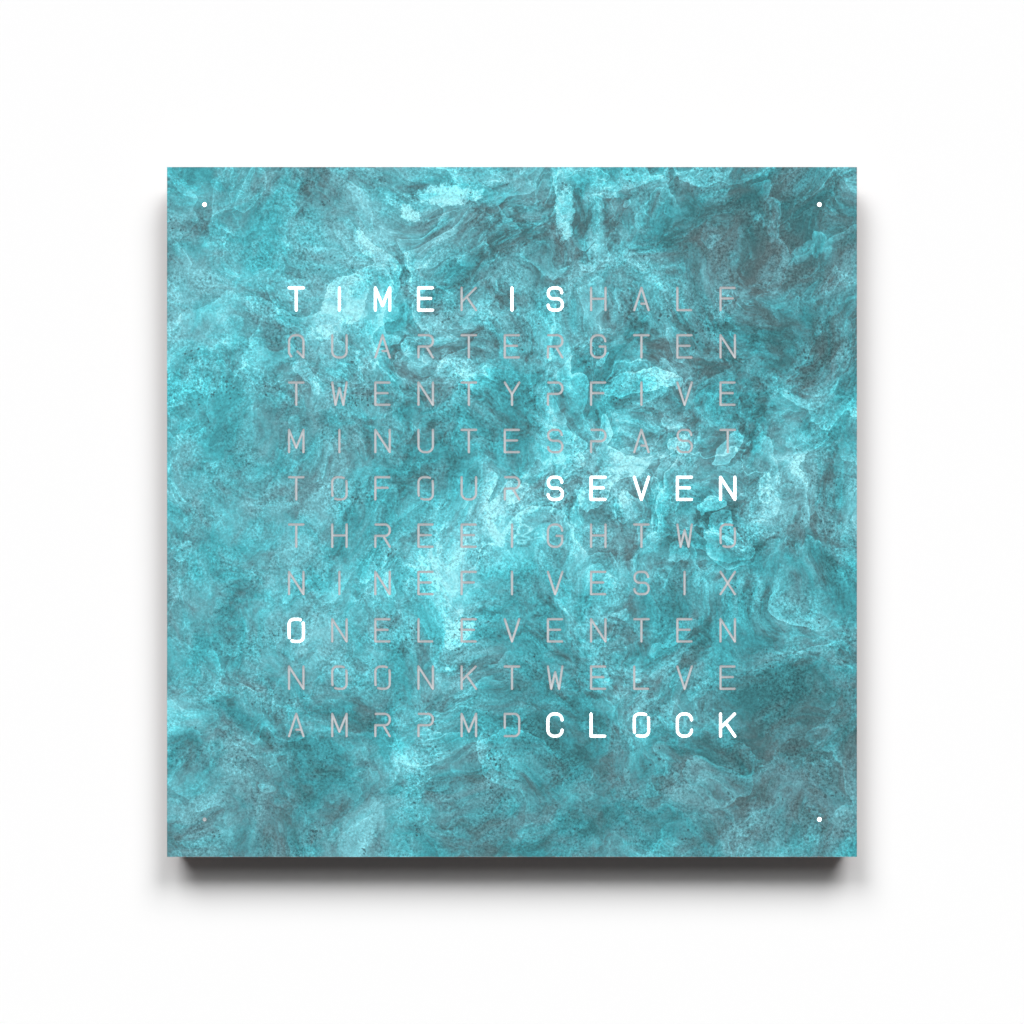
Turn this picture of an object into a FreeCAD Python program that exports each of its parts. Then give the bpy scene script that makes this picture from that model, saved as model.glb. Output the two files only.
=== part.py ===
import FreeCAD, Part
import math
import os
import re
import Sketcher

from FreeCAD import Vector

# Word clock for a wall: a patinated copper sheet with stencil letters in front of a lit,
# square tray. Millimetres. +X is to the viewer's right, the front faces -Y and +Z is up.
# The origin is the middle of the rear face, where the tray meets the wall, so a depth
# is counted forward from the wall, towards -Y.

doc = FreeCAD.newDocument("WordClock")
sheet = doc.addObject("Spreadsheet::Sheet", "Sizes")

sizes = (
    ("cover_thickness", 1.2, "thickness of the front sheet"),
    ("cover_clearance", 0.3, "gap between the lift-off cover and what stays on the wall"),
    ("housing_side", 440, "side of the square tray behind the sheet"),
    ("cover_overhang", 5, "front sheet beyond the tray, each side"),
    ("rim_width", 10, "width of the tray's outer wall"),
    ("shelf_width", 8, "width of the inner shelf that the boards screw to"),
    ("fit_gap", 0.3, "gap round each sheet that drops into the tray"),
    ("panel_thickness", 2, "thickness of the rear panel"),
    ("electronics_space", 7.9, "depth between the rear panel and the lamp board"),
    ("board_thickness", 1.6, "thickness of each circuit board"),
    ("cell_depth", 6, "depth of the light cells"),
    ("cell_wall", 1.4, "wall between two light cells"),
    ("diffuser_thickness", 1, "thickness of the opal diffuser"),
    ("column_pitch", 28.14, "distance between two letter columns"),
    ("row_pitch", 30.87, "distance between two letter rows"),
    ("letter_width", 10.7, "outer width of a letter"),
    ("letter_height", 15.8, "outer height of a letter"),
    ("stroke_width", 1.3, "width of the cut that draws a letter"),
    ("dot_diameter", 2.4, "diameter of a minute dot"),
    ("dot_inset", 9.5, "minute dot from the tray's inner walls"),
    ("dot_tube_diameter", 8, "bore of the light cell behind a minute dot"),
    ("led_length", 3.5, "length of a lamp"),
    ("led_width", 2.8, "width of a lamp"),
    ("led_height", 1.9, "height of a lamp"),
    ("driver_length", 10, "length of a lamp driver"),
    ("driver_width", 6, "width of a lamp driver"),
    ("driver_height", 1.7, "height of a lamp driver"),
    ("driver_pitch", 80, "distance between two lamp drivers"),
    ("magnet_diameter", 6, "diameter of a cover magnet"),
    ("magnet_length", 4, "length of a cover magnet"),
    ("magnet_offset", 120, "cover magnet from the middle of its side"),
    ("strip_length", 30, "length of a steel catch strip"),
    ("strip_width", 6.4, "width of a steel catch strip"),
    ("strip_thickness", 0.8, "thickness of a steel catch strip"),
    ("screw_diameter", 3, "thread diameter of every screw"),
    ("screw_head", 5.6, "head diameter of every screw"),
    ("screw_head_height", 1.4, "head height of every screw"),
    ("screw_reach", 5, "length of screw that bites into the tray"),
    ("screw_clearance", 0.1, "screw hole wider than the screw"),
    ("panel_screw_offset", 150, "rear panel screw from the middle of its side"),
    ("board_screw_margin", 12, "lamp board screw beyond the bay for the controller board"),
    ("hanger_spacing", 300, "distance between the two keyhole entries"),
    ("hanger_drop", 70, "keyhole entry below the tray's upper face"),
    ("hanger_width", 44, "width of a keyhole plate"),
    ("hanger_length", 40, "height of a keyhole plate"),
    ("hanger_thickness", 1.5, "thickness of a keyhole plate"),
    ("keyhole_entry", 10, "diameter of a keyhole entry"),
    ("keyhole_neck", 4.6, "width of a keyhole neck"),
    ("keyhole_rise", 9, "neck's end above the entry's centre"),
    ("window_width", 16, "width of the panel window behind a keyhole"),
    ("window_length", 26, "height of the panel window behind a keyhole"),
    ("rivet_diameter", 3, "shank of a keyhole plate rivet"),
    ("rivet_spacing", 32, "distance between the two rivets of a keyhole plate"),
    ("controller_width", 130, "width of the controller board"),
    ("controller_height", 60, "height of the controller board"),
    ("standoff_length", 2, "height of the controller board above the panel"),
    ("standoff_diameter", 6, "outer diameter of a standoff"),
    ("standoff_inset", 5, "standoff from the board's two nearest edges"),
    ("edge_gap", 0.5, "controller board from the tray's lower wall"),
    ("bay_margin", 5, "bay in the shelf wider than the controller board, each side"),
    ("socket_width", 9, "width of the power socket"),
    ("socket_depth", 6.2, "depth of the power socket"),
    ("socket_height", 12, "height of the power socket"),
    ("socket_bore", 3.6, "bore of the power socket"),
    ("socket_bore_length", 9, "length of the power socket's bore"),
    ("socket_pin", 1.3, "diameter of the power socket's pin"),
    ("socket_margin", 0.4, "board notch wider than the socket, each side"),
    ("plug_notch", 12, "width of the plug's way through the lower wall"),
    ("button_diameter", 3.6, "stem of a push button"),
    ("button_clearance", 0.3, "gap round a button's stem"),
    ("button_proud", 1.2, "button below the tray's lower face"),
    ("button_travel", 0.5, "travel of a push button"),
    ("button_flange", 6.4, "width of the flange that keeps a button in"),
    ("button_flange_depth", 3.2, "depth of the flange, between the boards"),
    ("button_flange_height", 1, "height of the flange"),
    ("first_button", 26, "nearest button from the middle"),
    ("button_pitch", 13, "distance between two buttons"),
    ("switch_width", 6, "width of a right-angle switch"),
    ("switch_depth", 4, "depth of a right-angle switch"),
    ("switch_height", 4, "height of a right-angle switch"),
    ("plunger_diameter", 2.2, "diameter of a switch's plunger"),
    ("plunger_reach", 1.4, "plunger between the flange and the switch's case"),
    ("plunger_depth", 1.2, "plunger inside the switch's case"),
    ("sensor_place", -34, "light sensor from the middle, left of it"),
    ("sensor_size", 3.2, "side of the light sensor"),
    ("pipe_diameter", 3, "diameter of the light sensor's light pipe"),
    ("header_place", -40, "board connector from the middle, left of it"),
    ("header_length", 20, "length of the board connector"),
    ("header_width", 5, "width of the board connector"),
    ("chip_row", 40, "chips above the controller board's lower edge"),
    ("processor_side", 10, "side of the processor"),
    ("processor_height", 1.2, "height of the processor"),
    ("clock_chip_place", 20, "clock chip from the middle"),
    ("clock_chip_length", 10.3, "height of the clock chip on the board"),
    ("clock_chip_width", 7.5, "width of the clock chip"),
    ("clock_chip_height", 2.3, "thickness of the clock chip"),
    ("cell_place", 44, "coin cell from the middle"),
    ("coin_diameter", 20, "diameter of the coin cell"),
    ("coin_thickness", 3.2, "thickness of the coin cell"),
    ("coin_holder_side", 24, "side of the coin cell's holder"),
    ("coin_holder_floor", 0.5, "floor of the coin cell's holder"),
    ("coin_gap", 0.2, "gap round the coin cell"),
    ("antenna_height", 100, "radio antenna above the middle"),
    ("rod_diameter", 6, "diameter of the ferrite rod"),
    ("rod_length", 60, "length of the ferrite rod"),
    ("coil_wall", 0.5, "thickness of the antenna's winding"),
    ("coil_length", 18, "length of the antenna's winding"),
    ("clip_spacing", 44, "distance between the antenna's two clips"),
    ("clip_width", 5, "width of an antenna clip along the rod"),
    ("clip_wall", 1.2, "wall of an antenna clip round the rod"),
    ("clip_floor", 0.8, "floor of an antenna clip under the rod"),
    ("radio_place", 52, "radio board from the middle"),
    ("radio_width", 14, "width of the radio board"),
    ("radio_length", 24, "height of the radio board"),
    ("radio_thickness", 1, "thickness of the radio board"),
    ("cable_width", 4, "width of the radio's flat cable"),
    ("cable_thickness", 0.6, "thickness of the radio's flat cable"),
    ("connector_width", 8, "width of the radio cable's connector"),
    ("connector_length", 6, "height of the radio cable's connector"),
)

for row, (alias, value, meaning) in enumerate(sizes, 1):
    sheet.set(f"A{row}", meaning)
    sheet.set(f"B{row}", str(value))
    sheet.setAlias(f"B{row}", alias)
doc.recompute()

aliases = {alias for alias, value, meaning in sizes}
sideCount = 4

# One string per row of letters, read from the top. The words tell the time in English.
wordRows = (
    "TIMEKISHALF",
    "QUARTERGTEN",
    "TWENTYPFIVE",
    "MINUTESPAST",
    "TOFOURSEVEN",
    "THREEIGHTWO",
    "NINEFIVESIX",
    "ONELEVENTEN",
    "NOONKTWELVE",
    "AMRPMDCLOCK",
)
columnCount = len(wordRows[0])
rowCount = len(wordRows)

# Depths from the wall, one piece seated on the next.
panelFront = "panel_thickness"
lampBoardBack = f"({panelFront} + electronics_space)"
lampBoardFront = f"({lampBoardBack} + board_thickness)"
cellFront = f"({lampBoardFront} + cell_depth)"
rimFront = f"({cellFront} + diffuser_thickness)"
coverBack = f"({rimFront} + cover_clearance)"
controllerBack = f"({panelFront} + standoff_length)"
controllerFront = f"({controllerBack} + board_thickness)"
boardGap = f"({lampBoardBack} - {controllerFront})"
gapMiddle = f"({controllerFront} + {boardGap} / 2)"

# Sides of the square sheets and openings, and places that follow from them.
coverSide = "(housing_side + 2 * cover_overhang)"
pocketSide = "(housing_side - 2 * rim_width)"
insertSide = f"({pocketSide} - 2 * fit_gap)"
shelfOpening = f"({pocketSide} - 2 * shelf_width)"
shelfMiddle = f"(({pocketSide} + {shelfOpening}) / 4)"
rimMiddle = "((housing_side - rim_width) / 2)"
lowerWall = f"(-{pocketSide} / 2)"
controllerEdge = f"({lowerWall} + edge_gap)"
controllerMiddle = f"({controllerEdge} + controller_height / 2)"
chipHeight = f"({controllerEdge} + chip_row)"
bayWidth = "(controller_width + 2 * bay_margin)"
dotOffset = f"({pocketSide} / 2 - dot_inset)"
boardScrewOffset = f"({bayWidth} / 2 + board_screw_margin)"
hangerHeight = "(housing_side / 2 - hanger_drop)"
flangeBottom = f"({lowerWall} + cover_clearance)"
flangeTop = f"({flangeBottom} + button_flange_height)"
switchBottom = f"({flangeTop} + plunger_reach)"
rodMiddle = f"({panelFront} + clip_floor + rod_diameter / 2)"


def scoped(formula):
    """Write a formula on the sheet's names as an expression."""
    return re.sub(r"[a-z_]+", lambda word: f"Sizes.{word[0]}" if word[0] in aliases else word[0], formula)


def number(formula):
    """Value of a formula on the sheet's names."""
    return float(sheet.evalExpression(scoped(formula)))


def newBody(label):
    body = doc.addObject("PartDesign::Body", label)
    body.Label = label
    body.AllowCompound = True
    return body


def newSketch(body, role, place):
    """Sketch on one of the body's own planes, moved along its normal."""
    plane = next(feature for feature in body.Origin.OriginFeatures if feature.Role == role)
    sketch = body.newObject("Sketcher::SketchObject", f"{body.Label}_sketch")
    sketch.AttachmentSupport = [(plane, "")]
    sketch.MapMode = "FlatFace"
    sketch.setExpression("AttachmentOffset.Base.z", scoped(place))
    return sketch


def atDepth(body, depth):
    """Sketch seen from the front; a pad on it grows towards the viewer."""
    return newSketch(body, "XZ_Plane", depth)


def atHeight(body, height):
    """Sketch seen from above; a pad on it grows upwards."""
    return newSketch(body, "XY_Plane", height)


def addDimension(sketch, kind, places, formula):
    index = sketch.addConstraint(Sketcher.Constraint(kind, *places, number(formula)))
    name = f"size_{index}"
    sketch.renameConstraint(index, name)
    sketch.setExpression(f"Constraints.{name}", scoped(formula))


def addRectangle(sketch, across, up, width, height):
    """Rectangle by its middle and sides."""
    x, z = number(across), number(up)
    halfWidth, halfHeight = number(width) / 2, number(height) / 2
    corners = [
        Vector(x - halfWidth, z - halfHeight, 0),
        Vector(x + halfWidth, z - halfHeight, 0),
        Vector(x + halfWidth, z + halfHeight, 0),
        Vector(x - halfWidth, z + halfHeight, 0),
    ]
    lines = [sketch.addGeometry(Part.LineSegment(corners[i], corners[(i + 1) % 4])) for i in range(4)]
    for i in range(4):
        sketch.addConstraint(Sketcher.Constraint("Coincident", lines[i], 2, lines[(i + 1) % 4], 1))
    for i, kind in enumerate(("Horizontal", "Vertical") * 2):
        sketch.addConstraint(Sketcher.Constraint(kind, lines[i]))
    addDimension(sketch, "DistanceX", (-1, 1, lines[0], 1), f"{across} - ({width}) / 2")
    addDimension(sketch, "DistanceY", (-1, 1, lines[0], 1), f"{up} - ({height}) / 2")
    addDimension(sketch, "DistanceX", (lines[0], 1, lines[0], 2), width)
    addDimension(sketch, "DistanceY", (lines[1], 1, lines[1], 2), height)


def addCircle(sketch, across, up, diameter):
    centre = Vector(number(across), number(up), 0)
    circle = sketch.addGeometry(Part.Circle(centre, Vector(0, 0, 1), number(diameter) / 2))
    addDimension(sketch, "Diameter", (circle,), diameter)
    addDimension(sketch, "DistanceX", (-1, 1, circle, 3), across)
    addDimension(sketch, "DistanceY", (-1, 1, circle, 3), up)


def addPad(sketch, length, taper=0):
    body = sketch.getParentGeoFeatureGroup()
    pad = body.newObject("PartDesign::Pad", f"{body.Label}_pad")
    pad.Profile = sketch
    pad.setExpression("Length", scoped(length))
    pad.TaperAngle = taper
    return pad


def addPocket(sketch, length):
    """Cut along the sketch's normal, and make sure that it took something away."""
    body = sketch.getParentGeoFeatureGroup()
    doc.recompute()
    before = body.Shape.Volume
    pocket = body.newObject("PartDesign::Pocket", f"{body.Label}_pocket")
    pocket.Profile = sketch
    pocket.setExpression("Length", scoped(length))
    pocket.Reversed = True
    doc.recompute()
    if not body.Shape.Volume < before:
        raise ValueError(f"A pocket of {body.Label} cuts nothing")
    return pocket


def repeatRound(body, features):
    """Repeat features on all four sides, about the clock's front-to-back axis."""
    axis = next(feature for feature in body.Origin.OriginFeatures if feature.Role == "Y_Axis")
    pattern = body.newObject("PartDesign::PolarPattern", f"{body.Label}_round")
    pattern.Originals = features
    pattern.Axis = (axis, [""])
    pattern.Angle = 360
    pattern.Occurrences = sideCount
    body.Tip = pattern
    return pattern


def repeatGrid(body, sketch, features, columns, rows, columnPitch, rowPitch):
    """Repeat features to the right and up, in columns and rows."""
    pattern = body.newObject("PartDesign::LinearPattern", f"{body.Label}_grid")
    pattern.Originals = features
    pattern.Direction = (sketch, ["H_Axis"])
    pattern.setExpression("Length", scoped(f"{columnPitch} * {columns - 1}"))
    pattern.Occurrences = columns
    pattern.Direction2 = (sketch, ["V_Axis"])
    pattern.setExpression("Length2", scoped(f"{rowPitch} * {rows - 1}"))
    pattern.Occurrences2 = rows
    body.Tip = pattern
    return pattern


def addBlock(label, across, up, width, height, depth, thickness):
    """Plain rectangular piece that stands on a depth and grows forward."""
    body = newBody(label)
    sketch = atDepth(body, depth)
    addRectangle(sketch, across, up, width, height)
    addPad(sketch, thickness)
    return body


# Letters. A stroke is a path of points: across and up as shares of the letter's half width
# and half height, and the corner's radius as a share of the half width. Closed letters are
# left open at bridges, so that no island falls out of the sheet.
roundCorner = 0.85
softCorner = 0.7

strokes = {
    "A": (((-1, -1), (0, 1), (1, -1)), ((0, -0.42), (0.71, -0.42))),
    "C": (((0.97, 0.52), (0.97, 1, roundCorner), (-1, 1, roundCorner), (-1, -1, roundCorner),
           (0.97, -1, roundCorner), (0.97, -0.52)),),
    "D": (((-1, -0.25), (-1, 1), (1, 1, softCorner), (1, -1, softCorner), (-1, -1)),),
    "E": (((0.95, 1), (-1, 1), (-1, -1), (0.95, -1)), ((-1, 0.05), (0.7, 0.05))),
    "F": (((0.95, 1), (-1, 1), (-1, -1)), ((-1, 0.05), (0.7, 0.05))),
    "G": (((0.97, 0.52), (0.97, 1, roundCorner), (-1, 1, roundCorner), (-1, -1, roundCorner),
           (0.97, -1, roundCorner), (0.97, -0.02), (0.2, -0.02)),),
    "H": (((-1, 1), (-1, -1)), ((1, 1), (1, -1)), ((-1, 0.02), (1, 0.02))),
    "I": (((0, 1), (0, -1)),),
    "K": (((-1, 1), (-1, -1)), ((0.95, 1), (-1, -0.25)), ((-0.3, 0.2), (1, -1))),
    "L": (((-1, 1), (-1, -1), (0.9, -1)),),
    "M": (((-1, -1), (-1, 1), (0, -0.6), (1, 1), (1, -1)),),
    "N": (((-1, -1), (-1, 1), (1, -1), (1, 1)),),
    "O": (((0.6, 0.94), (0.25, 1), (-1, 1, softCorner), (-1, -0.4), (-0.96, -0.66)),
          ((0.96, 0.66), (1, 0.4), (1, -1, softCorner), (-0.25, -1), (-0.6, -0.94))),
    "P": (((-0.95, 1), (1, 1, softCorner), (1, -0.02, softCorner), (-1, -0.02), (-1, -1)),),
    "Q": (((-0.7, -0.9), (-1, -0.6), (-1, 1, roundCorner), (1, 1, roundCorner), (1, -0.85)),
          ((0.15, -0.45), (1, -1))),
    "R": (((-0.95, 1), (1, 1, softCorner), (1, -0.02, softCorner), (-1, -0.02), (-1, -1)),
          ((0.1, -0.02), (1, -1))),
    "S": (((0.92, 0.62), (0.92, 1, softCorner), (-0.95, 1, softCorner), (-0.95, 0.02, softCorner),
           (1, 0.02, softCorner), (1, -1, softCorner), (-0.97, -1, softCorner), (-0.97, -0.62)),),
    "T": (((-1, 1), (1, 1)), ((0, 1), (0, -1))),
    "U": (((-1, 1), (-1, -1, roundCorner), (1, -1, roundCorner), (1, 1)),),
    "V": (((-1, 1), (0, -1), (1, 1)),),
    "W": (((-1, 1), (-0.55, -1), (0, 0.5), (0.55, -1), (1, 1)),),
    "X": (((-1, 1), (1, -1)), ((-1, -1), (1, 1))),
    "Y": (((-1, 1), (0, -0.05), (1, 1)), ((0, -0.05), (0, -1))),
}


def strokePath(points, halfWidth, halfHeight):
    """Wire along a stroke's middle line, with its corners rounded by tangent arcs."""
    places = [Vector(point[0] * halfWidth, 0, point[1] * halfHeight) for point in points]
    edges = []
    start = places[0]
    for i in range(1, len(points) - 1):
        corner = places[i]
        radius = points[i][2] * halfWidth if len(points[i]) == 3 else 0
        if radius:
            back = (places[i - 1] - corner).normalize()
            ahead = (places[i + 1] - corner).normalize()
            halfTurn = back.getAngle(ahead) / 2
            reach = radius / math.tan(halfTurn)
            middle = corner + (back + ahead).normalize() * (radius / math.sin(halfTurn) - radius)
            first = corner + back * reach
            last = corner + ahead * reach
            edges.append(Part.makeLine(start, first))
            edges.append(Part.Arc(first, middle, last).toShape())
            start = last
        else:
            edges.append(Part.makeLine(start, corner))
            start = corner
    edges.append(Part.makeLine(start, places[-1]))
    return Part.Wire(edges)


def straightBar(path, halfStroke):
    """Outline with round ends about one straight line."""
    start, end = path.Vertexes[0].Point, path.Vertexes[-1].Point
    along = (end - start).normalize() * halfStroke
    aside = Vector(along.z, 0, -along.x)
    return Part.Wire([
        Part.makeLine(start + aside, end + aside),
        Part.Arc(end + aside, end + along, end - aside).toShape(),
        Part.makeLine(end - aside, start - aside),
        Part.Arc(start - aside, start - along, start + aside).toShape(),
    ])


def letterHoles(letter, halfWidth, halfHeight, strokeWidth):
    """Closed outlines that cut one letter, about its own middle."""
    bars = []
    for points in strokes[letter]:
        path = strokePath(points, halfWidth, halfHeight)
        if len(points) == 2:
            outline = straightBar(path, strokeWidth / 2)
        else:
            outline = path.makeOffset2D(strokeWidth / 2, 0, False, False)
        bars.append(Part.Face(outline).extrude(Vector(0, -strokeWidth, 0)))
    shape = bars[0].multiFuse(bars[1:]).removeSplitter() if len(bars) > 1 else bars[0]
    return [face.OuterWire for face in shape.Faces if face.BoundBox.YMin > -strokeWidth / 2]


def squareWire(side):
    half = side / 2
    corners = [Vector(-half, 0, -half), Vector(half, 0, -half), Vector(half, 0, half), Vector(-half, 0, half)]
    return Part.makePolygon(corners + corners[:1])


# Front cover: one sheet, cut right through with every letter and the four minute dots.
halfWidth = number("(letter_width - stroke_width) / 2")
halfHeight = number("(letter_height - stroke_width) / 2")
strokeWidth = number("stroke_width")
letterCuts = {letter: letterHoles(letter, halfWidth, halfHeight, strokeWidth) for letter in sorted(strokes)}
cuts = []
for row, letters in enumerate(wordRows):
    for column, letter in enumerate(letters):
        across = (column - (columnCount - 1) / 2) * number("column_pitch")
        up = ((rowCount - 1) / 2 - row) * number("row_pitch")
        cuts += [wire.translated(Vector(across, 0, up)) for wire in letterCuts[letter]]
dotPlace = number(dotOffset)
dotRadius = number("dot_diameter / 2")
for across in (-dotPlace, dotPlace):
    for up in (-dotPlace, dotPlace):
        cuts.append(Part.Wire(Part.makeCircle(dotRadius, Vector(across, 0, up), Vector(0, 1, 0))))
sheetFace = Part.Face(squareWire(number(coverSide))).cut([Part.Face(wire) for wire in cuts]).Faces[0]
frontCover = doc.addObject("Part::Feature", "front_cover")
frontCover.Label = "front_cover"
frontCover.Shape = sheetFace.extrude(Vector(0, -number("cover_thickness"), 0))
frontCover.Placement.Base = Vector(0, -number(coverBack), 0)

# Steel catch strips, bonded to the back of the copper sheet over the magnets.
catchStrips = newBody("catch_strips")
stripSketch = atDepth(catchStrips, f"{coverBack} - strip_thickness")
for side in ("-", ""):
    addRectangle(stripSketch, f"{side}magnet_offset", rimMiddle, "strip_length", "strip_width")
strips = addPad(stripSketch, "strip_thickness")
repeatRound(catchStrips, [strips])

# Tray: a square rim with an inner shelf, routed for everything that it carries.
housing = newBody("housing_frame")
rimSketch = atDepth(housing, "0")
addRectangle(rimSketch, "0", "0", "housing_side", "housing_side")
addRectangle(rimSketch, "0", "0", pocketSide, pocketSide)
addPad(rimSketch, rimFront)
shelfSketch = atDepth(housing, panelFront)
addRectangle(shelfSketch, "0", "0", "housing_side - rim_width", "housing_side - rim_width")
addRectangle(shelfSketch, "0", "0", shelfOpening, shelfOpening)
addPad(shelfSketch, "electronics_space")

bayTop = f"({lowerWall} + shelf_width + edge_gap)"
baySketch = atDepth(housing, panelFront)
addRectangle(baySketch, "0", f"({lowerWall} + {bayTop}) / 2", bayWidth, f"{bayTop} - {lowerWall}")
addPocket(baySketch, "electronics_space")
notchSketch = atDepth(housing, "0")
addRectangle(notchSketch, "0", f"{lowerWall} - rim_width / 2", "plug_notch", "rim_width")
addPocket(notchSketch, lampBoardBack)

grooveWidth = "strip_width + 2 * cover_clearance"
grooveLength = "strip_length + 2 * cover_clearance"
grooveSketch = atDepth(housing, f"{rimFront} - strip_thickness")
magnetSketch = atDepth(housing, f"{rimFront} - strip_thickness - magnet_length")
for side in ("-", ""):
    addRectangle(grooveSketch, f"{side}magnet_offset", rimMiddle, grooveLength, grooveWidth)
    addCircle(magnetSketch, f"{side}magnet_offset", rimMiddle, "magnet_diameter")
grooves = addPocket(grooveSketch, "strip_thickness")
magnetHoles = addPocket(magnetSketch, "magnet_length")
rearScrewSketch = atDepth(housing, panelFront)
frontScrewSketch = atDepth(housing, f"{lampBoardBack} - screw_reach")
for side in ("-", ""):
    addCircle(rearScrewSketch, f"{side}panel_screw_offset", shelfMiddle, "screw_diameter + screw_clearance")
    addCircle(frontScrewSketch, f"{side}{boardScrewOffset}", shelfMiddle, "screw_diameter + screw_clearance")
rearHoles = addPocket(rearScrewSketch, "screw_reach")
frontHoles = addPocket(frontScrewSketch, "screw_reach")
repeatRound(housing, [grooves, magnetHoles, rearHoles, frontHoles])

# Holes up through the lower wall for the buttons and the light sensor's pipe.
buttonNames = ("mode", "hour", "minute")
buttonPlaces = [f"(first_button + {i} * button_pitch)" for i in range(len(buttonNames))]
wallBottom = "(-housing_side / 2)"
wallSketch = atHeight(housing, wallBottom)
for place in buttonPlaces:
    addCircle(wallSketch, place, f"-{gapMiddle}", "button_diameter + 2 * button_clearance")
addCircle(wallSketch, "sensor_place", f"-{gapMiddle}", "pipe_diameter + screw_clearance")
addPocket(wallSketch, "rim_width")

# Cover magnets, flush with the floor of the catch strips' grooves.
magnets = newBody("cover_magnets")
magnetBodySketch = atDepth(magnets, f"{rimFront} - strip_thickness - magnet_length")
for side in ("-", ""):
    addCircle(magnetBodySketch, f"{side}magnet_offset", rimMiddle, "magnet_diameter")
magnetPad = addPad(magnetBodySketch, "magnet_length")
repeatRound(magnets, [magnetPad])

# Rear panel, with a window behind each keyhole and countersunk screw holes.
backPanel = newBody("back_panel")
panelSketch = atDepth(backPanel, "0")
addRectangle(panelSketch, "0", "0", insertSide, insertSide)
addPad(panelSketch, "panel_thickness")
hangerPlaces = ("(-hanger_spacing / 2)", "(hanger_spacing / 2)")
windowSketch = atDepth(backPanel, "0")
rivetHoleSketch = atDepth(backPanel, "0")
windowMiddle = f"({hangerHeight} + (keyhole_rise - keyhole_entry / 2) / 2)"
for place in hangerPlaces:
    addRectangle(windowSketch, place, windowMiddle, "window_width", "window_length")
    for side in ("-", "+"):
        addCircle(rivetHoleSketch, f"{place} {side} rivet_spacing / 2", windowMiddle, "rivet_diameter")
addPocket(windowSketch, "panel_thickness")
addPocket(rivetHoleSketch, "panel_thickness")
standoffAcross = "(controller_width / 2 - standoff_inset)"
standoffUp = "(controller_height / 2 - standoff_inset)"
standoffPlaces = [
    (f"({across}{standoffAcross})", f"({controllerMiddle} {up} {standoffUp})")
    for across in ("-", "")
    for up in ("-", "+")
]
tappedSketch = atDepth(backPanel, "0")
for across, up in standoffPlaces:
    addCircle(tappedSketch, across, up, "screw_diameter")
addPocket(tappedSketch, "panel_thickness")
panelHoleSketch = atDepth(backPanel, "0")
headHoleSketch = atDepth(backPanel, "0")
for side in ("-", ""):
    addCircle(panelHoleSketch, f"{side}panel_screw_offset", shelfMiddle, "screw_diameter + screw_clearance")
    addCircle(headHoleSketch, f"{side}panel_screw_offset", shelfMiddle, "screw_head + screw_clearance")
panelHoles = addPocket(panelHoleSketch, "panel_thickness")
headHoles = addPocket(headHoleSketch, "screw_head_height")
repeatRound(backPanel, [panelHoles, headHoles])


def addScrews(label, offset, headDepth, shankDepth, shankLength):
    """Screws all round on the shelf, each from the depths of its head and its shank."""
    body = newBody(label)
    headSketch = atDepth(body, headDepth)
    shankSketch = atDepth(body, shankDepth)
    for side in ("-", ""):
        addCircle(headSketch, f"{side}{offset}", shelfMiddle, "screw_head")
        addCircle(shankSketch, f"{side}{offset}", shelfMiddle, "screw_diameter")
    shanks = addPad(shankSketch, shankLength)
    heads = addPad(headSketch, "screw_head_height")
    repeatRound(body, [shanks, heads])


addScrews("panel_screws", "panel_screw_offset", "0", "screw_head_height",
          "panel_thickness - screw_head_height + screw_reach")

# Keyhole plates behind the windows, riveted to the inside of the rear panel.
hangers = newBody("hanger_plates")
hangerSketch = atDepth(hangers, panelFront)
entrySketch = atDepth(hangers, panelFront)
neckSketch = atDepth(hangers, panelFront)
plateRivetSketch = atDepth(hangers, panelFront)
for place in hangerPlaces:
    addRectangle(hangerSketch, place, windowMiddle, "hanger_width", "hanger_length")
    addCircle(entrySketch, place, hangerHeight, "keyhole_entry")
    addRectangle(neckSketch, place, f"{hangerHeight} + keyhole_rise / 2", "keyhole_neck", "keyhole_rise")
    for side in ("-", "+"):
        addCircle(plateRivetSketch, f"{place} {side} rivet_spacing / 2", windowMiddle, "rivet_diameter")
addPad(hangerSketch, "hanger_thickness")
addPocket(entrySketch, "hanger_thickness")
addPocket(neckSketch, "hanger_thickness")
addPocket(plateRivetSketch, "hanger_thickness")

rivets = newBody("hanger_rivets")
rivetSketch = atDepth(rivets, "0")
rivetHeadSketch = atDepth(rivets, f"{panelFront} + hanger_thickness")
for place in hangerPlaces:
    for side in ("-", "+"):
        addCircle(rivetSketch, f"{place} {side} rivet_spacing / 2", windowMiddle, "rivet_diameter")
        addCircle(rivetHeadSketch, f"{place} {side} rivet_spacing / 2", windowMiddle, "screw_head")
addPad(rivetSketch, f"{panelFront} + hanger_thickness")
addPad(rivetHeadSketch, "rivet_diameter / 3")

# Lamp board, with a lamp behind each letter and each dot.
firstColumn = f"(-column_pitch * {columnCount - 1} / 2)"
firstRow = f"(-row_pitch * {rowCount - 1} / 2)"
dotCorners = [(f"({across}{dotOffset})", f"({up}{dotOffset})") for across in ("-", "") for up in ("-", "")]


def addShelfHoles(body, depth, diameter, length):
    """Holes for the lamp board's screws, all round."""
    sketch = atDepth(body, depth)
    for side in ("-", ""):
        addCircle(sketch, f"{side}{boardScrewOffset}", shelfMiddle, diameter)
    return addPocket(sketch, length)


lampBoard = newBody("led_board")
lampBoardSketch = atDepth(lampBoard, lampBoardBack)
addRectangle(lampBoardSketch, "0", "0", insertSide, insertSide)
addPad(lampBoardSketch, "board_thickness")
boardHoles = addShelfHoles(lampBoard, lampBoardBack, "screw_diameter + screw_clearance", "board_thickness")
repeatRound(lampBoard, [boardHoles])

lamps = newBody("leds")
lampSketch = atDepth(lamps, lampBoardFront)
addRectangle(lampSketch, firstColumn, firstRow, "led_length", "led_width")
lampPad = addPad(lampSketch, "led_height")
dotLampSketch = atDepth(lamps, lampBoardFront)
for across, up in dotCorners:
    addRectangle(dotLampSketch, across, up, "led_length", "led_width")
addPad(dotLampSketch, "led_height")
repeatGrid(lamps, lampSketch, [lampPad], columnCount, rowCount, "column_pitch", "row_pitch")

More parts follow.
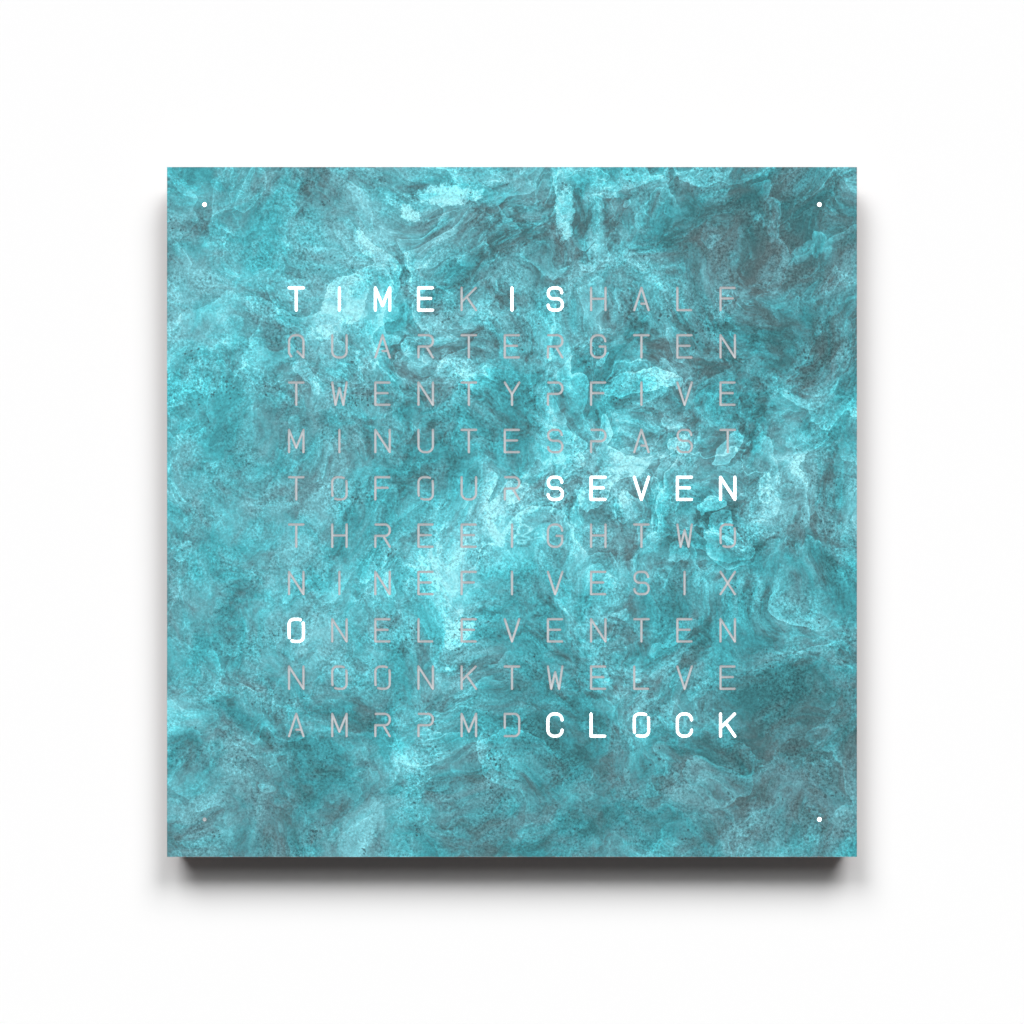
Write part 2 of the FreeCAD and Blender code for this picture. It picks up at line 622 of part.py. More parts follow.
driverColumns = 4
driverRows = 2
drivers = newBody("led_drivers")
driverSketch = atDepth(drivers, f"{lampBoardBack} - driver_height")
firstDriver = f"(-driver_pitch * {driverColumns - 1} / 2)"
addRectangle(driverSketch, firstDriver, "(-driver_pitch)", "driver_length", "driver_width")
driverPad = addPad(driverSketch, "driver_height")
repeatGrid(drivers, driverSketch, [driverPad], driverColumns, driverRows, "driver_pitch", "driver_pitch")

# Light cells: a white board, routed through behind each letter and bored behind each dot.
cells = newBody("light_grid")
cellBoardSketch = atDepth(cells, lampBoardFront)
addRectangle(cellBoardSketch, "0", "0", insertSide, insertSide)
addPad(cellBoardSketch, "cell_depth")
tubeSketch = atDepth(cells, lampBoardFront)
for across, up in dotCorners:
    addCircle(tubeSketch, across, up, "dot_tube_diameter")
addPocket(tubeSketch, "cell_depth")
headRoom = "(screw_head_height + screw_clearance)"
cellScrewHoles = addShelfHoles(cells, lampBoardFront, "screw_diameter + screw_clearance", "cell_depth")
cellHeadHoles = addShelfHoles(cells, f"{cellFront} - {headRoom}", "screw_head + screw_clearance", headRoom)
repeatRound(cells, [cellScrewHoles, cellHeadHoles])
cellSketch = atDepth(cells, lampBoardFront)
addRectangle(cellSketch, firstColumn, firstRow, "column_pitch - cell_wall", "row_pitch - cell_wall")
cellPocket = addPocket(cellSketch, "cell_depth")
repeatGrid(cells, cellSketch, [cellPocket], columnCount, rowCount, "column_pitch", "row_pitch")

addScrews("board_screws", boardScrewOffset, f"{cellFront} - screw_head_height",
          f"{lampBoardBack} - screw_reach", "screw_reach + board_thickness + cell_depth - screw_head_height")

addBlock("diffuser_sheet", "0", "0", insertSide, insertSide, cellFront, "diffuser_thickness")

# Controller board at the foot of the tray, notched round the power socket.
controller = newBody("controller_board")
controllerSketch = atDepth(controller, controllerBack)
addRectangle(controllerSketch, "0", controllerMiddle, "controller_width", "controller_height")
addPad(controllerSketch, "board_thickness")
socketNotch = atDepth(controller, controllerBack)
notchHeight = "(socket_height + socket_margin)"
notchMiddle = f"({controllerEdge} + {notchHeight} / 2)"
addRectangle(socketNotch, "0", notchMiddle, "socket_width + 2 * socket_margin", notchHeight)
addPocket(socketNotch, "board_thickness")
controllerHoles = atDepth(controller, controllerBack)
standoffs = newBody("standoffs")
standoffSketch = atDepth(standoffs, panelFront)
standoffBore = atDepth(standoffs, panelFront)
controllerScrews = newBody("controller_screws")
controllerShanks = atDepth(controllerScrews, "0")
controllerHeads = atDepth(controllerScrews, controllerFront)
for across, up in standoffPlaces:
    addCircle(controllerHoles, across, up, "screw_diameter + screw_clearance")
    addCircle(standoffSketch, across, up, "standoff_diameter")
    addCircle(standoffBore, across, up, "screw_diameter + screw_clearance")
    addCircle(controllerShanks, across, up, "screw_diameter")
    addCircle(controllerHeads, across, up, "screw_head")
addPocket(controllerHoles, "board_thickness")
addPad(standoffSketch, "standoff_length")
addPocket(standoffBore, "standoff_length")
addPad(controllerShanks, controllerFront)
addPad(controllerHeads, "screw_head_height")

addBlock("processor", "0", chipHeight, "processor_side", "processor_side",
         controllerFront, "processor_height")
addBlock("clock_chip", "clock_chip_place", chipHeight, "clock_chip_width", "clock_chip_length",
         controllerFront, "clock_chip_height")
for name, depth in (("header_plug", controllerFront), ("header_socket", gapMiddle)):
    addBlock(name, "header_place", chipHeight, "header_length", "header_width", depth, f"{boardGap} / 2")

holder = newBody("coin_cell_holder")
holderSketch = atDepth(holder, controllerFront)
addRectangle(holderSketch, "cell_place", chipHeight, "coin_holder_side", "coin_holder_side")
addPad(holderSketch, "coin_holder_floor + coin_thickness")
holderBore = atDepth(holder, f"{controllerFront} + coin_holder_floor")
addCircle(holderBore, "cell_place", chipHeight, "coin_diameter + 2 * coin_gap")
addPocket(holderBore, "coin_thickness")
coin = newBody("coin_cell")
coinSketch = atDepth(coin, f"{controllerFront} + coin_holder_floor")
addCircle(coinSketch, "cell_place", chipHeight, "coin_diameter")
addPad(coinSketch, "coin_thickness")

# Power socket on the rear panel, its mouth down towards the plug's way through the wall.
socketDepth = f"({panelFront} + socket_depth / 2)"
socket = newBody("power_socket")
socketSketch = atHeight(socket, controllerEdge)
addRectangle(socketSketch, "0", f"-{socketDepth}", "socket_width", "socket_depth")
addPad(socketSketch, "socket_height")
socketBore = atHeight(socket, controllerEdge)
addCircle(socketBore, "0", f"-{socketDepth}", "socket_bore")
addPocket(socketBore, "socket_bore_length")
socketPin = newBody("power_socket_pin")
pinSketch = atHeight(socketPin, controllerEdge)
addCircle(pinSketch, "0", f"-{socketDepth}", "socket_pin")
addPad(pinSketch, "socket_bore_length")

# Push buttons in the lower wall, each with the plunger and the case of its switch.
switches = newBody("button_switches")
switchMiddle = f"({controllerFront} + switch_depth / 2)"
switchSketch = atHeight(switches, switchBottom)
switchBore = atHeight(switches, switchBottom)
for place in buttonPlaces:
    addRectangle(switchSketch, place, f"-{switchMiddle}", "switch_width", "switch_depth")
    addCircle(switchBore, place, f"-{gapMiddle}", "plunger_diameter + 2 * button_clearance")
addPad(switchSketch, "switch_height")
addPocket(switchBore, "plunger_depth + button_travel + button_clearance")
for name, place in zip(buttonNames, buttonPlaces):
    button = newBody(f"{name}_button")
    stemSketch = atHeight(button, f"{wallBottom} - button_proud")
    addCircle(stemSketch, place, f"-{gapMiddle}", "button_diameter")
    addPad(stemSketch, "rim_width + button_proud + cover_clearance")
    flangeSketch = atHeight(button, flangeBottom)
    addRectangle(flangeSketch, place, f"-{gapMiddle}", "button_flange", "button_flange_depth")
    addPad(flangeSketch, "button_flange_height")
    plunger = newBody(f"{name}_plunger")
    plungerSketch = atHeight(plunger, flangeTop)
    addCircle(plungerSketch, place, f"-{gapMiddle}", "plunger_diameter")
    addPad(plungerSketch, "plunger_reach + plunger_depth")

# Light sensor on the controller board, and the clear pipe that leads light up to it.
sensor = newBody("light_sensor")
sensorSketch = atHeight(sensor, controllerEdge)
sensorMiddle = f"({controllerFront} + sensor_size / 2)"
addRectangle(sensorSketch, "sensor_place", f"-{sensorMiddle}", "sensor_size", "sensor_size")
addPad(sensorSketch, "sensor_size")
pipe = newBody("sensor_light_pipe")
pipeSketch = atHeight(pipe, wallBottom)
addCircle(pipeSketch, "sensor_place", f"-{gapMiddle}", "pipe_diameter")
addPad(pipeSketch, "rim_width + edge_gap / 2")

# Radio time receiver: a ferrite rod with its winding in two clips, a small board and a cable.
rod = newBody("ferrite_rod")
rodPlane = newSketch(rod, "YZ_Plane", "-rod_length / 2")
addCircle(rodPlane, f"-{rodMiddle}", "antenna_height", "rod_diameter")
addPad(rodPlane, "rod_length")
coil = newBody("antenna_coil")
coilSketch = newSketch(coil, "YZ_Plane", "-coil_length / 2")
addCircle(coilSketch, f"-{rodMiddle}", "antenna_height", "rod_diameter + 2 * coil_wall")
addCircle(coilSketch, f"-{rodMiddle}", "antenna_height", "rod_diameter")
addPad(coilSketch, "coil_length")
clips = newBody("antenna_clips")
for place in ("-clip_spacing / 2", "clip_spacing / 2"):
    clipSketch = newSketch(clips, "YZ_Plane", f"{place} - clip_width / 2")
    addRectangle(clipSketch, f"-({panelFront} + {rodMiddle}) / 2", "antenna_height",
                 f"{rodMiddle} - {panelFront}", "rod_diameter + 2 * clip_wall")
    addPad(clipSketch, "clip_width")
    clipBore = newSketch(clips, "YZ_Plane", f"{place} - clip_width / 2")
    addCircle(clipBore, f"-{rodMiddle}", "antenna_height", "rod_diameter")
    addPocket(clipBore, "clip_width")

addBlock("radio_board", "radio_place", "antenna_height", "radio_width", "radio_length",
         panelFront, "radio_thickness")
connectorTop = f"({controllerMiddle} + controller_height / 2 - standoff_inset)"
cableTop = "(antenna_height - radio_length / 2)"
addBlock("radio_connector", "radio_place", f"{connectorTop} - connector_length / 2", "connector_width",
         "connector_length", panelFront, "standoff_length")
addBlock("radio_cable", "radio_place", f"({connectorTop} + {cableTop}) / 2", "cable_width",
         f"{cableTop} - {connectorTop}", panelFront, "cable_thickness")

doc.recompute()

for item in doc.Objects:
    if {"Invalid", "Error"} & set(item.State):
        raise ValueError(f"{item.Label} did not build")
pieces = [frontCover] + [item for item in doc.Objects if item.TypeId == "PartDesign::Body"]
for piece in pieces:
    if piece.Shape.isNull() or not piece.Shape.isValid() or not piece.Shape.Solids:
        raise ValueError(f"{piece.Label} has no valid solid")

os.makedirs("parts", exist_ok=True)
for piece in pieces:
    piece.Shape.exportStep(f"parts/{piece.Label}.step")
    print(f"{piece.Label}: {len(piece.Shape.Solids)} solids, {piece.Shape.Volume / 1000:.2f} cm3")
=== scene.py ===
import math

import bmesh
import bpy
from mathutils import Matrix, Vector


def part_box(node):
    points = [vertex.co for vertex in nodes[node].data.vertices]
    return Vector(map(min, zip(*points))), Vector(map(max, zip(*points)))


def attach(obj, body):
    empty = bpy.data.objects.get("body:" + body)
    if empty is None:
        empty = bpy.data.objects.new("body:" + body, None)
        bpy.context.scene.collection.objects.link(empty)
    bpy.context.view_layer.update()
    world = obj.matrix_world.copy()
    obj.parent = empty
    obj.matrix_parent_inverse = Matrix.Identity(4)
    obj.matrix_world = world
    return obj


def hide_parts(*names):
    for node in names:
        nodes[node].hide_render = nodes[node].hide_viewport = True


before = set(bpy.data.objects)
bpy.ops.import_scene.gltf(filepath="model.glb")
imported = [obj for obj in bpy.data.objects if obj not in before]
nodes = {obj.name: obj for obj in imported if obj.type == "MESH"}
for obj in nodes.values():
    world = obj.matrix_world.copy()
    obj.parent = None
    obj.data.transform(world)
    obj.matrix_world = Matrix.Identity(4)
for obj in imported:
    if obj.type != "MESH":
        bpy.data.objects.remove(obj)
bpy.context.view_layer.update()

mm = 0.001
levelFacing = -0.9   # a face whose normal's Y is below this looks forward
print("frame loaded:", len(nodes), "nodes")


# Helpers

def hexColour(text):
    # sRGB hex to a linear colour with alpha.
    channels = [int(text[i:i + 2], 16) / 255 for i in (1, 3, 5)]
    return [c / 12.92 if c <= 0.04045 else ((c + 0.055) / 1.055) ** 2.4 for c in channels] + [1.0]


def addNode(tree, kind, out, links=None, **settings):
    # Add a node, set its properties, fill its inputs with values or sockets, and give one output.
    node = tree.nodes.new("ShaderNode" + kind)
    for name, value in settings.items():
        setattr(node, name, value)
    for name, value in (links or {}).items():
        socket = node.inputs[name]
        if isinstance(value, bpy.types.NodeSocket):
            tree.links.new(value, socket)
        else:
            socket.default_value = value
    return node.outputs[out]


def newMaterial(name):
    # Empty node material; gives the material, its tree and the object's own coordinates.
    material = bpy.data.materials.new(name)
    material.use_nodes = True
    material.cycles.emission_sampling = "NONE"
    tree = material.node_tree
    tree.nodes.clear()
    return material, tree, addNode(tree, "TexCoord", "Object")


def finishMaterial(tree, surface):
    output = tree.nodes.new("ShaderNodeOutputMaterial")
    tree.links.new(surface, output.inputs["Surface"])


def setRamp(colour, stops):
    # Fill the colour ramp that gives this colour, from (place, hex) pairs.
    elements = colour.node.color_ramp.elements
    while len(elements) < len(stops):
        elements.new(0.5)
    for element, (place, tone) in zip(elements, stops):
        element.position = place
        element.color = hexColour(tone)


def dress(material, *names):
    # Give CAD nodes one material.
    for name in names:
        mesh = nodes[name].data
        mesh.materials.clear()
        mesh.materials.append(material)


def soften(width, *names):
    # Break the edges of CAD nodes, by a width in mm.
    for name in names:
        bevel = nodes[name].modifiers.new("brokenEdge", "BEVEL")
        bevel.width = width * mm
        bevel.segments = 2
        bevel.limit_method = "ANGLE"
        bevel.angle_limit = math.radians(40)


def link(item):
    bpy.context.scene.collection.objects.link(item)


# The letter grid, and which of its words and corner dots are lit

letters = {
    "columnPitch": 28.14, "rowPitch": 30.87, "columns": 11, "rows": 10,   # mm
    "dotOffset": 200.5, "dotReach": 4,                                    # mm
    "litWords": [(1, 1, 4), (1, 6, 7), (5, 7, 11), (8, 1, 1), (10, 7, 11)],   # row, first and last column
    "litDots": [(-1, 1), (1, 1), (1, -1)],
}


def litZones():
    # Middle and half sizes of each lit stretch of the face, in mm.
    pitch, rise = letters["columnPitch"], letters["rowPitch"]
    zones = []
    for row, first, last in letters["litWords"]:
        left = (first - 1 - letters["columns"] / 2) * pitch
        right = (last - letters["columns"] / 2) * pitch
        middle = ((letters["rows"] + 1) / 2 - row) * rise
        zones.append(((left + right) / 2, middle, (right - left) / 2, rise / 2))
    reach = letters["dotReach"]
    for across, up in letters["litDots"]:
        zones.append((across * letters["dotOffset"], up * letters["dotOffset"], reach, reach))
    return zones


def litMask(tree, place):
    # 1 over a lit stretch of the face and 0 elsewhere.
    across = addNode(tree, "SeparateXYZ", "X", {0: place})
    up = addNode(tree, "SeparateXYZ", "Z", {0: place})
    lit = 0.0
    for middle, height, halfWidth, halfHeight in litZones():
        inWidth = addNode(tree, "Math", 0, {0: across, 1: middle * mm, 2: halfWidth * mm},
                          operation="COMPARE")
        inHeight = addNode(tree, "Math", 0, {0: up, 1: height * mm, 2: halfHeight * mm},
                           operation="COMPARE")
        zone = addNode(tree, "Math", 0, {0: inWidth, 1: inHeight}, operation="MULTIPLY")
        lit = addNode(tree, "Math", 0, {0: lit, 1: zone}, operation="MAXIMUM")
    return lit


# Front cover: copper sheet with a turquoise patina

patina = {
    "swirl": (150, 60, 3),    # mm between the big swirls, mm that they pull, detail
    "curl": (42, 15, 5),      # the same for the small curls on them
    "meanTone": 0.535,
    # size in mm, detail, roughness, weight in the tone
    "clouds": [(125, 2, 0.5, 0.5), (40, 8, 0.78, 0.8), (9, 5, 0.75, 0.42)],
    # size in mm, bands, weight, size in mm of the places where they show
    "fronts": [(150, 6.0, 0.23, 110), (60, 4.0, 0.17, 60)],
    "frontEdge": 3.5,               # how suddenly a band ends
    "frontPlaces": (0.4, 0.62),     # values of a slow noise between which they come up
    # the same for the scalloped rims of puddles that dried
    "puddles": [(62, 2.3, 0.21, 90), (26, 1.6, 0.12, 60)],
    "puddleEdge": 4.0,
    "puddlePlaces": (0.44, 0.58),
    "veins": [(46, 0.01, 0.2), (19, 0.018, 0.13)],   # size in mm, half width, weight
    "veinPlaces": (0.48, 0.62),
    "blotches": (34, 8.0, 0.72, 0.52, 0.6, 0.14),   # size in mm, detail, roughness, noise range, depth
    "lively": (70, 60, 60, 270, 1.2, 0.62),   # across, up, reach and end in mm; contrast there and beyond
    "crustNoise": (14, 8.0, 0.8, 3.0),        # size in mm, detail, roughness, how ragged the outline is
    "crustOutline": (2.3, 2.18, 0.27),        # where it starts and is full, and how much paler it is
    "drift": (60, 5.0, 0.7, 0.41, 0.61),      # size in mm, detail, roughness, range from bluer to greyer
    "grain": (1.7, 3, 0.85, 2.6),             # size in mm, detail, roughness, strength
    "grainPlaces": (24, 3.0, 0.35, 0.65),     # size in mm, detail, range from finer to coarser
    "pits": (3.2, 0.3, 0.7),                  # mm apart, reach in shares of that, how much they cover
    "pitShake": (1.5, 0.9, 2),                # size and reach in mm, detail
    "pitPlaces": (22, 3.0, 0.56, 0.7),        # size in mm, detail, noise range
    "pitTone": "#2C4347",
    "bareTones": [(0.35, "#8E716C"), (0.5, "#A98A82"), (0.65, "#C2A297")],   # pinkish copper
    "bareMottle": (6, 6.0),                   # size in mm, detail
    "cutReach": 0.95,         # mm, how far from a cut its bare rim and its light can show
    "rim": (0.69, 0.74),      # bare copper up to here, crust from there, as farFromEdge counts
    # Painted glow on the sheet along the cuts of lit words: where it starts and is full, as farFromEdge
    # counts, and its strength.
    "glowRim": (0.985, 0.85),
    "glowStrength": 2.0,
    "roughness": (0.5, 0.75),
    "bump": 0.12,             # mm, height of the crust
}
# Crust colours by their own lightness, for its bluer and for its greyer places.
bluerTones = [
    (0.36, "#2F6B71"), (0.435, "#387F86"), (0.49, "#3C929C"), (0.54, "#42A2AC"), (0.59, "#48B1BC"),
    (0.635, "#4EBECA"), (0.685, "#56CCD8"), (0.745, "#63DEEA"), (0.84, "#8BF2FB"),
]
greyerTones = [
    (0.36, "#50696D"), (0.435, "#577B81"), (0.49, "#5C8B94"), (0.54, "#639BA4"), (0.59, "#69AAB4"),
    (0.635, "#70B7C2"), (0.685, "#79C5D0"), (0.745, "#87D5E1"), (0.84, "#A2ECF4"),
]
faceDepth = -0.02   # m, the sheet's face
# Darker (and with a minus, brighter) spots, mostly darker to the right and below: across, up and reach in
# mm, and how much darker.
toneSpots = [
    (165, 165, 130, 0.09), (160, 10, 120, 0.09), (170, -170, 130, 0.11), (-170, -190, 110, 0.06),
    (0, -200, 110, 0.085), (-140, 120, 110, -0.04), (10, 0, 120, -0.035), (-160, 0, 130, -0.065),
    (88, 70, 50, 0.05), (-10, 176, 45, 0.04),
]
# Pale crusts near the upper edge: across, up and half sizes in mm.
crusts = [(-44, 206, 22, 8), (34, 196, 8, 26), (-66, 194, 8, 7)]


def pulled(tree, vector, size, reach, detail):
    # Pull a place about by a noise, so that what is drawn there swirls.
    pull = addNode(tree, "TexNoise", "Color", {"Vector": vector, "Scale": 1 / (size * mm), "Detail": detail})
    centred = addNode(tree, "VectorMath", 0, {0: pull, 1: (0.5, 0.5, 0.5)}, operation="SUBTRACT")
    scaled = addNode(tree, "VectorMath", 0, {0: centred, "Scale": 2 * reach * mm}, operation="SCALE")
    return addNode(tree, "VectorMath", 0, {0: vector, 1: scaled}, operation="ADD")


def farFromEdge(tree, reach):
    # 1 away from every edge, falling towards 0.7 at one, from a distance in mm on.
    flat = addNode(tree, "NewGeometry", "True Normal")
    rounded = addNode(tree, "Bevel", "Normal", {"Radius": reach * mm, "Normal": flat}, samples=4)
    return addNode(tree, "VectorMath", "Value", {0: flat, 1: rounded}, operation="DOT_PRODUCT")


def showing(tree, vector, size, places, weight):
    # A weight that comes up only where a slow noise is high.
    where = addNode(tree, "TexNoise", "Fac", {"Vector": vector, "Scale": 1 / (size * mm)})
    low, high = places
    return addNode(tree, "MapRange", "Result", {"Value": where, "From Min": low, "From Max": high,
                                                "To Max": weight})


def bandsOf(tree, field, bands, edge):
    # Bands that brighten slowly and end in a sharp line.
    counted = addNode(tree, "Math", 0, {0: field, 1: bands}, operation="MULTIPLY")
    step = addNode(tree, "Math", 0, {0: counted}, operation="FRACT")
    return addNode(tree, "Math", 0, {0: step, 1: edge}, operation="POWER")


def patinaTone(tree, place, swirled, curled):
    # How light the crust is: clouds, drying fronts, veins, darker and brighter spots, and crusts.
    tone = patina["meanTone"]
    for size, detail, roughness, weight in patina["clouds"]:
        cloud = addNode(tree, "TexNoise", "Fac", {
            "Vector": curled, "Scale": 1 / (size * mm), "Detail": detail, "Roughness": roughness})
        centred = addNode(tree, "Math", 0, {0: cloud, 1: 0.5}, operation="SUBTRACT")
        tone = addNode(tree, "Math", 0, {0: centred, 1: weight, 2: tone}, operation="MULTIPLY_ADD")

    # A drying front brightens slowly and ends in a sharp pale line.
    for size, bands, weight, placeSize in patina["fronts"]:
        field = addNode(tree, "TexNoise", "Fac", {
            "Vector": curled, "Scale": 1 / (size * mm), "Detail": 3.0, "Roughness": 0.5})
        front = bandsOf(tree, field, bands, patina["frontEdge"])
        share = showing(tree, swirled, placeSize, patina["frontPlaces"], weight)
        tone = addNode(tree, "Math", 0, {0: front, 1: share, 2: tone}, operation="MULTIPLY_ADD")

    # A puddle dried from its rim inwards, and left scalloped rings.
    for size, bands, weight, placeSize in patina["puddles"]:
        field = addNode(tree, "TexVoronoi", "Distance", {
            "Vector": curled, "Scale": 1 / (size * mm), "Detail": 1.0})
        ring = bandsOf(tree, field, bands, patina["puddleEdge"])
        share = showing(tree, swirled, placeSize, patina["puddlePlaces"], weight)
        tone = addNode(tree, "Math", 0, {0: ring, 1: share, 2: tone}, operation="MULTIPLY_ADD")

    # Thin bright veins on the ridges of a field.
    for size, halfWidth, weight in patina["veins"]:
        field = addNode(tree, "TexNoise", "Fac", {"Vector": curled, "Scale": 1 / (size * mm), "Detail": 4.0})
        centred = addNode(tree, "Math", 0, {0: field, 1: 0.5}, operation="SUBTRACT")
        ridge = addNode(tree, "Math", 0, {0: centred}, operation="ABSOLUTE")
        vein = addNode(tree, "MapRange", "Result", {"Value": ridge, "From Min": halfWidth, "From Max": 0.0})
        share = showing(tree, place, 2 * size, patina["veinPlaces"], weight)
        tone = addNode(tree, "Math", 0, {0: vein, 1: share, 2: tone}, operation="MULTIPLY_ADD")

    # Dark ragged patches.
    size, detail, roughness, low, high, depth = patina["blotches"]
    blotch = addNode(tree, "TexNoise", "Fac", {
        "Vector": curled, "Scale": 1 / (size * mm), "Detail": detail, "Roughness": roughness})
    dark = addNode(tree, "MapRange", "Result", {"Value": blotch, "From Min": low, "From Max": high,
                                                "To Max": depth})
    tone = addNode(tree, "Math", 0, {0: tone, 1: dark}, operation="SUBTRACT")

    # The pattern is livelier on one side of the sheet.
    across, up, near, far, lively, calm = patina["lively"]
    centre = (across * mm, faceDepth, up * mm)
    distance = addNode(tree, "VectorMath", "Value", {0: swirled, 1: centre}, operation="DISTANCE")
    contrast = addNode(tree, "MapRange", "Result", {
        "Value": distance, "From Min": near * mm, "From Max": far * mm, "To Min": lively, "To Max": calm})
    centred = addNode(tree, "Math", 0, {0: tone, 1: patina["meanTone"]}, operation="SUBTRACT")
    tone = addNode(tree, "Math", 0, {0: centred, 1: contrast, 2: patina["meanTone"]},
                   operation="MULTIPLY_ADD")
    # Darker and brighter spots; the darker ones lie mostly to the right and towards the bottom.
    for across, up, reach, depth in toneSpots:
        centre = (across * mm, faceDepth, up * mm)
        distance = addNode(tree, "VectorMath", "Value", {0: swirled, 1: centre}, operation="DISTANCE")
        spot = addNode(tree, "MapRange", "Result", {
            "Value": distance, "From Min": reach * mm, "From Max": 0.0, "To Max": depth},
            interpolation_type="SMOOTHSTEP")
        tone = addNode(tree, "Math", 0, {0: tone, 1: spot}, operation="SUBTRACT")

    # Pale crusts near the upper edge.
    size, detail, roughness, raggedness = patina["crustNoise"]
    start, full, lift = patina["crustOutline"]
    for across, up, reachAcross, reachUp in crusts:
        centre = (across * mm, faceDepth, up * mm)
        offset = addNode(tree, "VectorMath", 0, {0: place, 1: centre}, operation="SUBTRACT")
        shape = (1 / (reachAcross * mm), 0, 1 / (reachUp * mm))
        shaped = addNode(tree, "VectorMath", 0, {0: offset, 1: shape}, operation="MULTIPLY")
        length = addNode(tree, "VectorMath", "Value", {0: shaped}, operation="LENGTH")
        ragged = addNode(tree, "TexNoise", "Fac", {
            "Vector": place, "Scale": 1 / (size * mm), "Detail": detail, "Roughness": roughness})
        broken = addNode(tree, "Math", 0, {0: ragged, 1: raggedness, 2: length}, operation="MULTIPLY_ADD")
        crust = addNode(tree, "MapRange", "Result", {"Value": broken, "From Min": start, "From Max": full,
                                                     "To Max": lift})
        tone = addNode(tree, "Math", 0, {0: tone, 1: crust}, operation="ADD")
    return tone


def patinaCopper():
    # Copper sheet, patinated by hand with salt and ammonia: matt turquoise crust with drying fronts,
    # dark patches, fine salt grain and pits. Cut edges and the back stay bare, pinkish copper.
    material, tree, place = newMaterial("copperSheetPatinated")
    swirled = pulled(tree, place, *patina["swirl"])
    curled = pulled(tree, swirled, *patina["curl"])
    tone = patinaTone(tree, place, swirled, curled)

    bluer = addNode(tree, "ValToRGB", "Color", {"Fac": tone})
    setRamp(bluer, bluerTones)
    greyer = addNode(tree, "ValToRGB", "Color", {"Fac": tone})
    setRamp(greyer, greyerTones)
    size, detail, roughness, low, high = patina["drift"]
    drift = addNode(tree, "TexNoise", "Fac", {
        "Vector": curled, "Scale": 1 / (size * mm), "Detail": detail, "Roughness": roughness})
    greyShare = addNode(tree, "MapRange", "Result", {"Value": drift, "From Min": low, "From Max": high})
    colour = addNode(tree, "Mix", "Result", {"Factor": greyShare, "A": bluer, "B": greyer},
                     data_type="RGBA")

    # Salt grain, coarser in some places than in others.
    size, detail, roughness, weight = patina["grain"]
    grain = addNode(tree, "TexNoise", "Fac", {
        "Vector": place, "Scale": 1 / (size * mm), "Detail": detail, "Roughness": roughness})
    centred = addNode(tree, "Math", 0, {0: grain, 1: 0.5}, operation="SUBTRACT")
    size, detail, low, high = patina["grainPlaces"]
    patchy = addNode(tree, "TexNoise", "Fac", {"Vector": place, "Scale": 1 / (size * mm), "Detail": detail})
    strength = addNode(tree, "MapRange", "Result", {
        "Value": patchy, "From Min": low, "From Max": high, "To Min": 0.5 * weight, "To Max": 1.5 * weight})
    grained = addNode(tree, "Math", 0, {0: centred, 1: strength, 2: 1.0}, operation="MULTIPLY_ADD")
    colour = addNode(tree, "VectorMath", 0, {0: colour, "Scale": grained}, operation="SCALE")

    # Small ragged pits in clusters.
    shaken = pulled(tree, place, *patina["pitShake"])
    spacing, reach, cover = patina["pits"]
    pits = addNode(tree, "TexVoronoi", "Distance", {"Vector": shaken, "Scale": 1 / (spacing * mm)})
    size, detail, low, high = patina["pitPlaces"]
    cluster = addNode(tree, "TexNoise", "Fac", {"Vector": place, "Scale": 1 / (size * mm), "Detail": detail})
    pitSize = addNode(tree, "MapRange", "Result", {"Value": cluster, "From Min": low, "From Max": high,
                                                   "To Max": reach})
    pit = addNode(tree, "Math", 0, {0: pits, 1: pitSize}, operation="LESS_THAN")
    pitShare = addNode(tree, "Math", 0, {0: pit, 1: cover}, operation="MULTIPLY")
    colour = addNode(tree, "Mix", "Result", {
        "Factor": pitShare, "A": colour, "B": hexColour(patina["pitTone"])}, data_type="RGBA")

    # Bare copper along each cut, and wherever the sheet doesn't look forward.
    size, detail = patina["bareMottle"]
    mottled = addNode(tree, "TexNoise", "Fac", {"Vector": place, "Scale": 1 / (size * mm), "Detail": detail})
    bare = addNode(tree, "ValToRGB", "Color", {"Fac": mottled})
    setRamp(bare, patina["bareTones"])
    facing = addNode(tree, "SeparateXYZ", "Y", {0: addNode(tree, "NewGeometry", "True Normal")})
    isFront = addNode(tree, "Math", 0, {0: facing, 1: levelFacing}, operation="LESS_THAN")
    inland = farFromEdge(tree, patina["cutReach"])
    low, high = patina["rim"]
    crusted = addNode(tree, "MapRange", "Result", {"Value": inland, "From Min": low, "From Max": high})
    patinaShare = addNode(tree, "Math", 0, {0: isFront, 1: crusted}, operation="MULTIPLY")
    colour = addNode(tree, "Mix", "Result", {"Factor": patinaShare, "A": bare, "B": colour},
                     data_type="RGBA")

    # Painted glow: the light of a lit word spreads a little over the edges of its cuts, given off by the
    # sheet itself.
    low, high = patina["glowRim"]
    cutEdge = addNode(tree, "MapRange", "Result", {"Value": inland, "From Min": low, "From Max": high})
    spread = addNode(tree, "Math", 0, {0: cutEdge, 1: litMask(tree, place)}, operation="MULTIPLY")
    glow = addNode(tree, "Math", 0, {0: spread, 1: patina["glowStrength"]}, operation="MULTIPLY")

    smooth, dull = patina["roughness"]
    rough = addNode(tree, "MapRange", "Result", {"Value": tone, "To Min": smooth, "To Max": dull})
    metallic = addNode(tree, "Math", 0, {0: 1.0, 1: isFront}, operation="SUBTRACT")
    crustHeight = addNode(tree, "Math", 0, {0: grain, 1: 0.4, 2: patchy}, operation="MULTIPLY_ADD")
    relief = addNode(tree, "Bump", 0, {
        "Height": crustHeight, "Strength": 0.5, "Distance": patina["bump"] * mm})
    finishMaterial(tree, addNode(tree, "BsdfPrincipled", 0, {
        "Base Color": colour, "Roughness": rough, "Metallic": metallic, "Normal": relief,
        "Specular IOR Level": 0.3, "Emission Color": hexColour("#FFFFFF"), "Emission Strength": glow}))
    return material


dress(patinaCopper(), "front_cover")
print("front cover dressed")


# Diffuser: opal acrylic, lit from behind where a word is on

diffuser = {
    "litStrength": 4.0, "litTone": "#FFFFFF",
    # The unlit cells get a weaker painted glow, for stray light; over the dark milk it evens out the shade
    # inside the cuts.
    "idleStrength": 0.52, "idleTone": "#DDE8EE",   # stray light in the unlit cells
    "milk": [(0.3, "#848788"), (0.7, "#8D9091")], "cloud": 9,   # mm
    "roughness": (0.38, 0.55), "satin": 0.4,                    # mm
    "ior": 1.49,
}


